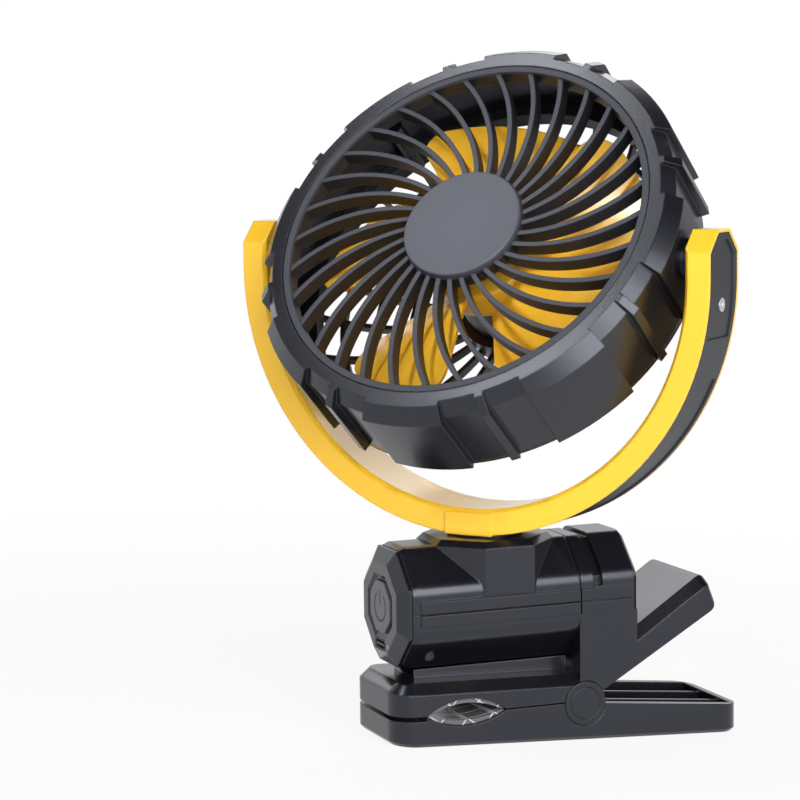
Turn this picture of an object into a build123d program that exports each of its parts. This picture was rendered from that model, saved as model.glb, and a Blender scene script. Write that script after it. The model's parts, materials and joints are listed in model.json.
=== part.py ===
"""Clip-on fan: a battery housing on a spring clip, a swivelling yoke and a tilting fan head.

Lengths are millimetres and angles degrees. Three local frames are used, and each piece is moved from
its own frame to the resting pose when it is written:
base  housing axis along Y, front towards -Y, swivel axis along Z, origin where the two axes cross
yoke  the base frame turned about the swivel axis, arms along X, front towards -Y
head  origin on the tilt axis, X along that axis, Z out of the front grille
"""

import os
from math import cos, pi, radians, sin, sqrt

from build123d import *

os.makedirs("parts", exist_ok=True)

# Resting pose
BASE_PITCH = 3.1
BASE_AXIS_HEIGHT = 44.7
SWIVEL_ANGLE = 38.4
TILT_ANGLE = 37.9
QUARTER_TURN = 90.0

# Shared clearances
CUT = 1.0
FIT = 0.1
RUNNING = 0.05

# Battery housing
SIDES = 8
HEX = 6
HOUSING_FLATS = 40.0
HOUSING_WALL = 1.6
HOUSING_ROUND = 6.0
HOUSING_FRONT = 33.3
HOUSING_SEAM = 25.0
HOUSING_REAR = 45.8
RIM_LENGTH = 2.3
RIM_STEP = 0.9
LIP_HEIGHT = 4.1
LIP_PROUD = 0.6
SEAM_GROOVE = 0.5
PEDESTAL_FLATS = 41.4
PEDESTAL_FOOT = 4.6
PEDESTAL_RISE = 1.8
PEDESTAL_CHAMFER = 2.0
PLINTH_WIDTH = 17.0
PLINTH_FRONT = -29.0
GROOVE_START = 30.0
GROOVE_WIDTH = 3.0
GROOVE_DEPTH = 1.2
GROOVE_END = 4.8
REAR_PROUD = 0.5
REAR_CHAMFER = 1.4
CRADLE_PLACES = (-10.0, 13.0)
CRADLE_THICKNESS = 1.8
CRADLE_DROP = 3.0
HOUSING_SCREW_X = 13.5
HOUSING_SCREW_Y = -25.2
HOUSING_BOSS_R = 2.8
HOUSING_SCREW_R = 1.05
HOUSING_SCREW_HEAD_R = 1.9
HOUSING_SCREW_HEAD = 1.6
HOUSING_SCREW_SEAT = 9.5
HOUSING_SCREW_REACH = 7.0

# Front cap, button and charging inlet
CAP_FLATS = 37.7
CAP_BAND = 1.1
CAP_FRONT = 37.1
CAP_FACE_FLATS = 28.7
CAP_WALL = 2.0
SPIGOT_LENGTH = 3.0
SPIGOT_WALL = 1.6
RECESS_FLATS = 21.4
RECESS_FLOOR_FLATS = 18.4
RECESS_DEPTH = 1.0
BUTTON_FLATS = 16.6
BUTTON_GAP = 0.25
BUTTON_FLANGE_FLATS = 19.4
BUTTON_FLANGE = 1.0
BUTTON_TRAVEL = 0.6
INLET_DROP = 12.3
INLET_WIDTH = 8.9
INLET_HEIGHT = 3.2
INLET_GAP = 0.2
INLET_WALL = 0.3
INLET_DEPTH = 5.0
TONGUE_WIDTH = 6.6
TONGUE_HEIGHT = 0.7
LIGHT_X = 6.2
LIGHT_R = 0.7
BOARD_THICKNESS = 1.6
SWITCH_SIZE = 6.0
SWITCH_PLUNGER_R = 1.7
SWITCH_PLUNGER = 0.5
CELL_R = 9.1
CELL_LENGTH = 65.0
CELL_SPACING = 18.4

# Clip
CLIP_WIDTH = 40.0
CLIP_FRONT = 39.5
CLIP_CORNER = 8.5
JAW_PLANE = -33.0
JAW_GAP = 0.4
JAW_MOUTH = 1.5
JAW_CHAMFER = 3.4
SOLE_CHAMFER = 1.2
JAW_TOP_FRONT = -22.4
JAW_TOP_REAR = -24.6
PIN_Y = 26.9
PIN_Z = -33.9
PIN_R = 2.4
PIN_HEAD_R = 5.2
PIN_HEAD = 1.1
EAR_R = 7.2
EAR_THICKNESS = 3.2
EAR_GAP = 0.3
EAR_GROOVE = 0.4
INNER_EAR_THICKNESS = 6.3
HANDLE_ROOT_Z = -11.0
HANDLE_TOP_Y = 73.0
HANDLE_TOP_Z = 9.1
HANDLE_END_Y = 76.0
HANDLE_END_Z = -5.5
HANDLE_CORNER = 7.0
HANDLE_WALL = 2.4
HANDLE_CHAMFER = 3.2
HANDLE_END_ROUND = 4.0
RIB_X = 6.7
RIB_THICKNESS = 1.6
RIB_DROP = 1.2
BAY_FRONT = 49.0
TRAY_END_Y = 84.6
TRAY_END_Z = -39.9
TRAY_FLOOR = 2.0
EYE_FRONT = -29.0
EYE_REAR = -1.5
EYE_RISE = 4.6
EYE_FALL = 3.8
EYE_ROOF = 2.0
PAD_THICKNESS = 1.6
PAD_INSET = 1.2
SPRING_R = 4.6
SPRING_WIRE_R = 0.7
SPRING_PITCH = 1.8
SPRING_LEG = 22.0
SPRING_UPPER_LEG_ANGLE = 39.5
SPRING_LOWER_LEG_ANGLE = -40.0
SPRING_FULL_TURNS = 3
SPRING_STEPS = 8

# Yoke
HEAD_GAP = 3.1
ARM_THICKNESS = 8.5
YOKE_DEPTH = 22.6
PIVOT_RISE = 5.8
ARM_OVER = 9.7
SWIVEL_GAP = 0.6
ARM_CHAMFER = 6.8
ARM_INNER_CHAMFER = 1.2
YOKE_PAD_WIDTH = 17.0
YOKE_PAD_PROUD = 0.3
YOKE_RIM = 1.0
COVER_THICKNESS = 2.0
COVER_LEDGE = 2.0
COVER_START = 14.0
COVER_PANEL_DEPTH = 0.5
COVER_PANEL_EDGE = 2.2
COVER_PLAIN_DROP = 37.8
COVER_PLAIN = 13.5
CHANNEL_DEPTH = 5.2
YOKE_SCREW_DROP = 13.8
YOKE_SCREW_R = 1.0
YOKE_SCREW_HEAD_R = 2.2
YOKE_SCREW_HEAD = 0.9
YOKE_POST_R = 2.2
SLOT_LENGTH = 2.8
SLOT_WIDTH = 0.6
SLOT_DEPTH = 0.5
LEAD_R = 1.2
LEAD_GAP = 0.25
LEAD_STOP = 5.0
LEAD_OFFSET = 3.7
LEAD_DROP = 4.8
SWIVEL_R = 5.0
SWIVEL_BORE_R = 2.6
SWIVEL_SOCKET = 6.5
SWIVEL_BOTTOM = 12.0
SWIVEL_DISC_R = 12.5
SWIVEL_WASHER_R = 7.4
SWIVEL_WASHER = 1.6
SWIVEL_NUT_FLATS = 12.8
SWIVEL_NUT = 3.6

# Fan head
FRONT_Z = 17.2
DRUM_DEPTH = 30.7
BEZEL_WIDTH = 3.7
BEZEL_STEP = 3.4
BEZEL_LIP = 2.4
DRUM_R = 70.4
DRUM_WALL = 2.2
LUG_HEIGHT = 2.6
LUG_FACE = 1.6
LUG_CHAMFER = 4.6
LUG_COUNT = 8
LUG_ARC = 22.2
LUG_ROOT = 1.0
RIB_WIDTH = 3.0
TRUNNION_R = 4.0
TRUNNION_SHOULDER_R = 7.0
TILT_WASHER = 0.5
TILT_SCREW_R = 1.25
TILT_SCREW_HEAD_R = 5.2
TILT_SCREW_HEAD = 1.7
TILT_SCREW_LENGTH = 9.0
GRILLE_GAP = 0.3
GRILLE_RIM = 2.2
GRILLE_DEPTH = 5.0
GRILLE_LEDGE = 3.6
GRILLE_FLANGE = 1.9
GRILLE_HUB_R = 20.5
GRILLE_HUB_WALL = 1.8
GRILLE_HUB_FLOOR = 1.2
VANE_COUNT = 32
VANE_WIDTH = 1.6
VANE_SET_BACK = 1.0
VANE_TWIST = 0.597
VANE_PHASE = 4.65
CAP_R = 20.0
CAP_PROUD = 0.8
CAP_HEAD = 2.3
CAP_ROUND = 0.6
REAR_FLANGE_STEP = 0.2
REAR_FLANGE = 1.6
REAR_SPIGOT = 4.0
REAR_DEPTH = 22.0
REAR_RIB_COUNT = 24
REAR_RIB_WIDTH = 1.6
REAR_RIB_DEPTH = 2.4
REAR_RING_SHARES = (0.38, 0.58, 0.78)
REAR_RING_WIDTH = 1.8
REAR_BULGE_SHARES = (0.74, 0.42)
POD_R = 19.0
POD_WALL = 2.6
POD_CUP = 6.0
FRAME_SCREW_COUNT = 4
FRAME_BOSS_R = 3.2
FRAME_BOSS_LENGTH = 16.0
FRAME_SCREW_R = 1.2
FRAME_SCREW_HEAD_R = 2.6
FRAME_SCREW_HEAD = 1.6
FRAME_SCREW_LENGTH = 10.0

# Motor and impeller
MOTOR_R = 16.0
MOTOR_WALL = 1.0
MOTOR_LENGTH = 19.5
MOTOR_PLATE = 1.4
BUSH_R = 3.5
BUSH_LENGTH = 3.4
SHAFT_R = 1.5
ROTOR_R = 12.2
ROTOR_GAP = 2.6
MAGNET_GAP = 0.5
MAGNET_ARC = 140.0
ROTOR_LENGTH = 12.5
ROTOR_SLOTS = 5
ROTOR_SLOT_WIDTH = 2.2
ROTOR_SLOT_DEPTH = 5.0
MOTOR_SCREW_R = 1.2
MOTOR_SCREW_HEAD_R = 2.2
MOTOR_SCREW_HEAD = 1.2
MOTOR_SCREW_CIRCLE = 11.0
HUB_R = 17.6
HUB_FRONT = 0.5
HUB_SKIRT = 10.5
HUB_WALL = 1.6
HUB_SLEEVE_R = 4.0
NUT_FLATS = 5.5
NUT_LENGTH = 2.4
BLADE_COUNT = 5
BLADE_TIP_GAP = 12.2
BLADE_PHASE = 28.0
BLADE_THICKNESS = 1.5
BLADE_ROOT_CHORD = 30.0
BLADE_TIP_CHORD = 80.0
BLADE_ROOT_PITCH = 38.0
BLADE_TIP_PITCH = 19.5
BLADE_ROOT_CAMBER = 1.6
BLADE_TIP_CAMBER = 1.6
BLADE_ROOT_MIDDLE = -5.5
BLADE_TIP_MIDDLE = -8.0
BLADE_SPREAD = 61.0
BLADE_CORNER = 9.0

# Worked out from the sizes above
INNER_FLATS = HOUSING_FLATS - 2 * HOUSING_WALL
PEDESTAL_TOP = HOUSING_FLATS / 2 + PEDESTAL_RISE
PIN = Vector(0, PIN_Y, PIN_Z)
LOWER_PLANE = JAW_PLANE - JAW_GAP
SPIGOT_FLATS = INNER_FLATS - 2 * FIT
BOARD_FRONT = HOUSING_FRONT - SPIGOT_LENGTH
BUTTON_BACK = CAP_FRONT - CAP_WALL - BUTTON_FLANGE - FIT
BEZEL_OUTER_R = DRUM_R - BEZEL_STEP
BEZEL_INNER_R = BEZEL_OUTER_R - BEZEL_WIDTH
LUG_R = DRUM_R + LUG_HEIGHT
LUG_FRONT_R = BEZEL_OUTER_R + LUG_FACE
YOKE_INNER = LUG_R + HEAD_GAP
YOKE_OUTER = YOKE_INNER + ARM_THICKNESS
YOKE_FLOOR = PEDESTAL_TOP + SWIVEL_GAP
YOKE_CENTRE = YOKE_FLOOR + YOKE_OUTER
YOKE_PAD_TOP = YOKE_CENTRE - YOKE_INNER - ARM_INNER_CHAMFER
PIVOT_HEIGHT = YOKE_CENTRE + PIVOT_RISE
YOKE_TOP = PIVOT_HEIGHT + ARM_OVER
YOKE_SCREW_HEIGHT = PIVOT_HEIGHT - YOKE_SCREW_DROP
LEAD_TOP = PIVOT_HEIGHT - LEAD_DROP
CHANNEL_FLOOR = YOKE_OUTER - CHANNEL_DEPTH
COVER_SEAT = YOKE_OUTER - COVER_THICKNESS
COVER_WIDTH = YOKE_DEPTH - 2 * YOKE_RIM
CHANNEL_WIDTH = COVER_WIDTH - 2 * COVER_LEDGE
DRUM_REAR = FRONT_Z - DRUM_DEPTH
DRUM_INNER_R = DRUM_R - DRUM_WALL
SHOULDER_X = YOKE_INNER - TILT_WASHER - 2 * FIT
GRILLE_R = BEZEL_INNER_R - GRILLE_GAP
GRILLE_FLANGE_R = BEZEL_INNER_R + GRILLE_LEDGE
GRILLE_INNER_R = GRILLE_R - GRILLE_RIM
REAR_FLANGE_R = DRUM_R - REAR_FLANGE_STEP
REAR_Z = DRUM_REAR - REAR_DEPTH
FRAME_SCREW_CIRCLE = DRUM_INNER_R - FRAME_BOSS_R + FIT
POD_FACE = REAR_Z + POD_WALL
MOTOR_REAR = POD_FACE + MOTOR_PLATE
MOTOR_FRONT = MOTOR_REAR + MOTOR_LENGTH
SHAFT_REAR = POD_FACE + FIT
ROTOR_REAR = MOTOR_REAR + ROTOR_GAP
SHAFT_FRONT = HUB_FRONT + NUT_LENGTH + FIT
BLADE_TIP_R = DRUM_INNER_R - BLADE_TIP_GAP

BAY_REAR = HANDLE_TOP_Y - HANDLE_END_ROUND / 4
HANDLE_BAYS = ((HANDLE_WALL - CLIP_WIDTH / 2, -RIB_X - RIB_THICKNESS / 2),
               (RIB_THICKNESS / 2 - RIB_X, RIB_X - RIB_THICKNESS / 2),
               (RIB_X + RIB_THICKNESS / 2, CLIP_WIDTH / 2 - HANDLE_WALL))
MOTOR_SCREW_PLACES = ((MOTOR_SCREW_CIRCLE, 0), (-MOTOR_SCREW_CIRCLE, 0))

BASE = Location((0, 0, BASE_AXIS_HEIGHT), (BASE_PITCH, 0, 0))
YOKE = BASE * Location((0, 0, 0), (0, 0, SWIVEL_ANGLE))
HEAD = YOKE * Location((0, 0, PIVOT_HEIGHT), (QUARTER_TURN - TILT_ANGLE, 0, 0))


def octagon(flats):
    """Draws a regular octagon with level top and bottom sides."""
    RegularPolygon(flats / 2, SIDES, major_radius=False, rotation=180 / SIDES)


def round_octagon(flats):
    """A regular octagon with rounded corners, drawn like octagon."""
    with BuildSketch(mode=Mode.PRIVATE) as section:
        octagon(flats)
        fillet(section.vertices(), HOUSING_ROUND)
    add(section.sketch)


def across(y):
    """The plane across the housing axis at y. It faces the front."""
    return Plane.XZ.offset(-y)


def ground(y):
    """The table's height in the base frame, which leans on the clip."""
    pitch = radians(BASE_PITCH)
    return -(BASE_AXIS_HEIGHT + y * sin(pitch)) / cos(pitch)


def polar_point(radius, angle):
    """A point of the XY plane."""
    return (radius * cos(radians(angle)), radius * sin(radians(angle)))


def outline(plane, *points):
    """A closed polygon on a plane."""
    with BuildSketch(plane) as section:
        with BuildLine():
            Polyline(*points, close=True)
        make_face()
    return section.sketch


def rod(plane, radius, start, end, centres=((0, 0),), mode=Mode.ADD):
    """Round bars square to a plane, from one offset to another."""
    with BuildSketch(plane.offset(start)) as section:
        with Locations(*centres):
            Circle(radius)
    extrude(section.sketch, amount=end - start, mode=mode)


def prism(plane, flats, start, end, sides=SIDES, mode=Mode.ADD):
    """A regular prism square to a plane, from one offset to another."""
    with BuildSketch(plane.offset(start)) as section:
        RegularPolygon(flats / 2, sides, major_radius=False, rotation=180 / sides)
    extrude(section.sketch, amount=end - start, mode=mode)


def both_sides(radius, start, end, y, z, mode=Mode.ADD):
    """A bar along X on the right and its mirror on the left."""
    rod(Plane.YZ, radius, start, end, ((y, z),), mode)
    rod(Plane.YZ, radius, -start, -end, ((y, z),), mode)


# Battery housing, base frame
def seam_grooves(rear):
    """A fine groove along each side where the housing's halves meet."""
    with BuildSketch(across(rear)) as section:
        with Locations((HOUSING_FLATS / 2 + LIP_PROUD, 0), (-HOUSING_FLATS / 2 - LIP_PROUD, 0)):
            Rectangle(2 * SEAM_GROOVE, SEAM_GROOVE)
    extrude(section.sketch, amount=HOUSING_REAR + HOUSING_FRONT, mode=Mode.SUBTRACT)


SCREW_PLACES = ((HOUSING_SCREW_X, HOUSING_SCREW_Y), (-HOUSING_SCREW_X, HOUSING_SCREW_Y))

with BuildPart() as barrel:
    with BuildSketch(across(HOUSING_SEAM)):
        round_octagon(HOUSING_FLATS)
        Rectangle(HOUSING_FLATS + 2 * LIP_PROUD, 2 * LIP_HEIGHT)
    extrude(amount=HOUSING_SEAM + HOUSING_FRONT - RIM_LENGTH)
    with BuildSketch(across(RIM_LENGTH - HOUSING_FRONT)):
        round_octagon(HOUSING_FLATS)
    with BuildSketch(across(-HOUSING_FRONT)):
        round_octagon(HOUSING_FLATS - 2 * RIM_STEP)
    loft()
    seam_grooves(HOUSING_SEAM)

with BuildPart() as pedestal:
    prism(Plane.XY, PEDESTAL_FLATS, PEDESTAL_FOOT, PEDESTAL_TOP)
    chamfer(pedestal.faces().sort_by(Axis.Z)[-1].edges(), PEDESTAL_CHAMFER)

with BuildPart() as pedestal_barrel:
    add(barrel.part)
    add(pedestal.part)

with BuildPart() as housing_upper:
    add(pedestal_barrel.part)
    prism(Plane.XZ, INNER_FLATS, -HOUSING_SEAM, HOUSING_FRONT, mode=Mode.SUBTRACT)
    rod(Plane.XY, HOUSING_BOSS_R, 0, HOUSING_FLATS / 2, SCREW_PLACES)
    add(pedestal_barrel.part, mode=Mode.INTERSECT)
    split(bisect_by=Plane.XY, keep=Keep.TOP)
    rod(Plane.XY, HOUSING_SCREW_R + FIT, 0, HOUSING_SCREW_REACH + CUT, SCREW_PLACES, Mode.SUBTRACT)
    rod(Plane.XY, SWIVEL_R + RUNNING, 0, PEDESTAL_TOP, mode=Mode.SUBTRACT)
housing_upper.part.label = "housing_upper"
export_step(housing_upper.part.moved(BASE), "parts/housing_upper.step")

with BuildPart() as housing_lower:
    add(barrel.part)
    prism(Plane.XZ, INNER_FLATS, -HOUSING_SEAM, HOUSING_FRONT, mode=Mode.SUBTRACT)
    rod(Plane.XY, HOUSING_BOSS_R, -HOUSING_FLATS / 2, 0, SCREW_PLACES)
    for place in CRADLE_PLACES:
        with BuildSketch(across(place)):
            with Locations((0, -CRADLE_DROP)):
                Rectangle(INNER_FLATS, HOUSING_FLATS / 2, align=(Align.CENTER, Align.MAX))
            with Locations((CELL_SPACING / 2, 0), (-CELL_SPACING / 2, 0)):
                Circle(CELL_R + FIT, mode=Mode.SUBTRACT)
        extrude(amount=CRADLE_THICKNESS)
    add(barrel.part, mode=Mode.INTERSECT)
    split(bisect_by=Plane.XY, keep=Keep.BOTTOM)
    rod(Plane.XY, HOUSING_SCREW_R + FIT, -HOUSING_FLATS / 2, 0, SCREW_PLACES, Mode.SUBTRACT)
    rod(Plane.XY, HOUSING_SCREW_HEAD_R + FIT, -HOUSING_FLATS / 2, -HOUSING_SCREW_SEAT, SCREW_PLACES,
        Mode.SUBTRACT)
housing_lower.part.label = "housing_lower"
export_step(housing_lower.part.moved(BASE), "parts/housing_lower.step")

with BuildPart() as housing_screws:
    rod(Plane.XY, HOUSING_SCREW_HEAD_R, -HOUSING_SCREW_SEAT - HOUSING_SCREW_HEAD, -HOUSING_SCREW_SEAT,
        SCREW_PLACES)
    rod(Plane.XY, HOUSING_SCREW_R, -HOUSING_SCREW_SEAT, HOUSING_SCREW_REACH, SCREW_PLACES)
    rod(Plane.XY, HOUSING_SCREW_R, -HOUSING_SCREW_SEAT - HOUSING_SCREW_HEAD,
        -HOUSING_SCREW_SEAT - HOUSING_SCREW_HEAD / 2, SCREW_PLACES, Mode.SUBTRACT)
housing_screws.part.label = "housing_screws"
export_step(housing_screws.part.moved(BASE), "parts/housing_screws.step")

with BuildPart() as rear_cover:
    with BuildSketch(across(HOUSING_REAR)):
        round_octagon(HOUSING_FLATS + 2 * REAR_PROUD)
    extrude(amount=HOUSING_REAR - GROOVE_START)
    chamfer(rear_cover.faces().sort_by(Axis.Y)[-1].edges(), REAR_CHAMFER)
    with BuildSketch(across(GROOVE_START)):
        round_octagon(HOUSING_FLATS)
    extrude(amount=GROOVE_START - HOUSING_SEAM)
    with BuildSketch(across(HOUSING_REAR - REAR_CHAMFER)):
        Rectangle(HOUSING_FLATS + 2 * LIP_PROUD, 2 * LIP_HEIGHT)
    extrude(amount=HOUSING_REAR - REAR_CHAMFER - HOUSING_SEAM)
    with BuildSketch(across(GROOVE_START)):
        octagon(HOUSING_FLATS + 2 * CUT)
        RegularPolygon(HOUSING_FLATS / 2 - GROOVE_DEPTH, SIDES, major_radius=False, rotation=180 / SIDES,
                       mode=Mode.SUBTRACT)
        with Locations((0, GROOVE_END)):
            Rectangle(2 * HOUSING_FLATS, HOUSING_FLATS, align=(Align.CENTER, Align.MAX),
                      mode=Mode.SUBTRACT)
    extrude(amount=-GROOVE_WIDTH, mode=Mode.SUBTRACT)
    with BuildSketch(across(HOUSING_SEAM)):
        octagon(HOUSING_FLATS + 2 * CUT)
        RegularPolygon(HOUSING_FLATS / 2 - SEAM_GROOVE, SIDES, major_radius=False, rotation=180 / SIDES,
                       mode=Mode.SUBTRACT)
    extrude(amount=-SEAM_GROOVE, mode=Mode.SUBTRACT)
    seam_grooves(HOUSING_REAR)
    prism(Plane.XZ, INNER_FLATS, HOUSING_WALL - HOUSING_REAR, -HOUSING_SEAM, mode=Mode.SUBTRACT)
    split(bisect_by=Plane.XY.offset(-LIP_HEIGHT), keep=Keep.TOP)
rear_cover.part.label = "rear_cover"
export_step(rear_cover.part.moved(BASE), "parts/rear_cover.step")

# Front cap, button, inlet and what is behind them, base frame
with BuildPart() as front_cap:
    prism(Plane.XZ, CAP_FLATS, HOUSING_FRONT, HOUSING_FRONT + CAP_BAND)
    with BuildSketch(across(-HOUSING_FRONT - CAP_BAND)):
        octagon(CAP_FLATS)
    with BuildSketch(across(-CAP_FRONT)):
        octagon(CAP_FACE_FLATS)
    loft()
    prism(Plane.XZ, SPIGOT_FLATS, BOARD_FRONT, HOUSING_FRONT)
    prism(Plane.XZ, SPIGOT_FLATS - 2 * SPIGOT_WALL, BOARD_FRONT, CAP_FRONT - CAP_WALL, mode=Mode.SUBTRACT)
    with BuildSketch(across(-CAP_FRONT)):
        octagon(RECESS_FLATS)
    with BuildSketch(across(RECESS_DEPTH - CAP_FRONT)):
        octagon(RECESS_FLOOR_FLATS)
    loft(mode=Mode.SUBTRACT)
    prism(Plane.XZ, BUTTON_FLATS + 2 * BUTTON_GAP, HOUSING_FRONT, CAP_FRONT, mode=Mode.SUBTRACT)
    with BuildSketch(across(-HOUSING_FRONT)):
        with Locations((0, -INLET_DROP)):
            SlotOverall(INLET_WIDTH + 2 * INLET_GAP, INLET_HEIGHT + 2 * INLET_GAP)
        with Locations((LIGHT_X, -INLET_DROP)):
            Circle(LIGHT_R + FIT)
    extrude(amount=CAP_FRONT - HOUSING_FRONT, mode=Mode.SUBTRACT)
front_cap.part.label = "front_cap"
export_step(front_cap.part.moved(BASE), "parts/front_cap.step")

with BuildPart() as power_button:
    prism(Plane.XZ, BUTTON_FLANGE_FLATS, BUTTON_BACK, BUTTON_BACK + BUTTON_FLANGE)
    prism(Plane.XZ, BUTTON_FLATS, BUTTON_BACK + BUTTON_FLANGE, CAP_FRONT)
power_button.part.label = "power_button"
export_step(power_button.part.moved(BASE), "parts/power_button.step")

with BuildPart() as circuit_board:
    prism(Plane.XZ, SPIGOT_FLATS, BOARD_FRONT - BOARD_THICKNESS, BOARD_FRONT)
circuit_board.part.label = "circuit_board"
export_step(circuit_board.part.moved(BASE), "parts/circuit_board.step")

with BuildPart() as tact_switch:
    with BuildSketch(across(-BOARD_FRONT)):
        Rectangle(SWITCH_SIZE, SWITCH_SIZE)
    extrude(amount=BUTTON_BACK - BUTTON_TRAVEL - SWITCH_PLUNGER - FIT - BOARD_FRONT)
    rod(Plane.XZ, SWITCH_PLUNGER_R, BOARD_FRONT, BUTTON_BACK - BUTTON_TRAVEL - FIT)
tact_switch.part.label = "tact_switch"
export_step(tact_switch.part.moved(BASE), "parts/tact_switch.step")

with BuildPart() as usb_socket:
    with BuildSketch(across(-BOARD_FRONT)):
        with Locations((0, -INLET_DROP)):
            SlotOverall(INLET_WIDTH, INLET_HEIGHT)
    extrude(amount=CAP_FRONT - BOARD_FRONT)
    with BuildSketch(across(-CAP_FRONT)):
        with Locations((0, -INLET_DROP)):
            SlotOverall(INLET_WIDTH - 2 * INLET_WALL, INLET_HEIGHT - 2 * INLET_WALL)
            Rectangle(TONGUE_WIDTH, TONGUE_HEIGHT, mode=Mode.SUBTRACT)
    extrude(amount=-INLET_DEPTH, mode=Mode.SUBTRACT)
usb_socket.part.label = "usb_socket"
export_step(usb_socket.part.moved(BASE), "parts/usb_socket.step")

with BuildPart() as charge_light:
    rod(Plane.XZ, LIGHT_R, BOARD_FRONT, CAP_FRONT, ((LIGHT_X, -INLET_DROP),))
charge_light.part.label = "charge_light"
export_step(charge_light.part.moved(BASE), "parts/charge_light.step")

with BuildPart() as battery_cells:
    cell_rear = HOUSING_WALL + FIT - HOUSING_REAR
    rod(Plane.XZ, CELL_R, cell_rear, cell_rear + CELL_LENGTH,
        ((CELL_SPACING / 2, 0), (-CELL_SPACING / 2, 0)))
battery_cells.part.label = "battery_cells"
export_step(battery_cells.part.moved(BASE), "parts/battery_cells.step")

# Clip, base frame
EAR_INSIDE = CLIP_WIDTH / 2 - EAR_THICKNESS
INNER_EAR_OUTSIDE = EAR_INSIDE - EAR_GAP
INNER_EAR_INSIDE = INNER_EAR_OUTSIDE - INNER_EAR_THICKNESS
HANDLE_SLOPE = (HANDLE_TOP_Z - HANDLE_ROOT_Z) / (HANDLE_TOP_Y - HOUSING_REAR)
UNDER_SLOPE = (HANDLE_END_Z - PIN_Z) / (HANDLE_END_Y - PIN_Y)
TRAY_SLOPE = (TRAY_END_Z - PIN_Z) / (TRAY_END_Y - PIN_Y)
PAD_WIDTH = CLIP_WIDTH - 2 * PAD_INSET
EYE_MIDDLE = (EYE_FRONT + EYE_REAR) / 2
PLINTH_FOOT = JAW_PLANE + EYE_RISE + EYE_ROOF


def handle_top(y):
    """The upper handle's top line."""
    return HANDLE_ROOT_Z + HANDLE_SLOPE * (y - HOUSING_REAR)


def handle_under(y):
    """The upper handle's open underside, a line through the pin."""
    return PIN_Z + UNDER_SLOPE * (y - PIN_Y)


def tray_top(y):
    """The lower handle's rim, a line through the pin."""
    return PIN_Z + TRAY_SLOPE * (y - PIN_Y)


def lens(plane_z, bulge, inset=0):
    """Half of the jaw's eye: an arc over the line where the jaws meet."""
    with BuildSketch(Plane.YZ) as section:
        with BuildLine():
            ThreePointArc((EYE_FRONT + inset, plane_z), (EYE_MIDDLE, plane_z + bulge),
                          (EYE_REAR - inset, plane_z))
            Line((EYE_REAR - inset, plane_z), (EYE_FRONT + inset, plane_z))
        make_face()
    return section.sketch


def plan(rear, rear_corner):
    """The clip's rounded outline from above."""
    with BuildSketch(Plane.XY.offset(-2 * BASE_AXIS_HEIGHT)) as section:
        with Locations((0, (rear - CLIP_FRONT) / 2)):
            Rectangle(CLIP_WIDTH, rear + CLIP_FRONT)
        ends = section.vertices().group_by(Axis.Y)
        fillet(ends[0], CLIP_CORNER)
        fillet(section.vertices().group_by(Axis.Y)[-1], rear_corner)
    return section.sketch


def on_jaw_top(edge):
    """Whether an edge goes round the upper jaw's top, clear of the pillar and the plinth."""
    middle = edge.center()
    fall = (JAW_TOP_REAR - JAW_TOP_FRONT) / (HOUSING_SEAM + CLIP_FRONT)
    level = abs(JAW_TOP_FRONT + fall * (middle.Y + CLIP_FRONT) - middle.Z) < FIT
    return level and middle.Y < PIN_Y and (abs(middle.X) > PLINTH_WIDTH or middle.Y < PLINTH_FRONT - CUT)


def on_handle_top(edge):
    """Whether an edge goes round the upper handle's top, away from the pillar."""
    middle = edge.center()
    return middle.Y > HOUSING_REAR + CUT and abs(handle_top(middle.Y) - middle.Z) < FIT


def on_sole(edge):
    """Whether an edge goes round the lower clip's underside."""
    middle = edge.center()
    return abs(ground(middle.Y) - middle.Z) < FIT


def pad(plane_z, bulge):
    """A curved grip pad lying against one half of the eye."""
    thinner = bulge - PAD_THICKNESS * bulge / abs(bulge)
    near = bulge - FIT * bulge / abs(bulge)
    extrude(lens(plane_z, near, FIT), amount=PAD_WIDTH / 2, both=True)
    extrude(lens(plane_z, thinner, PAD_THICKNESS), amount=PAD_WIDTH, both=True, mode=Mode.SUBTRACT)


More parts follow.
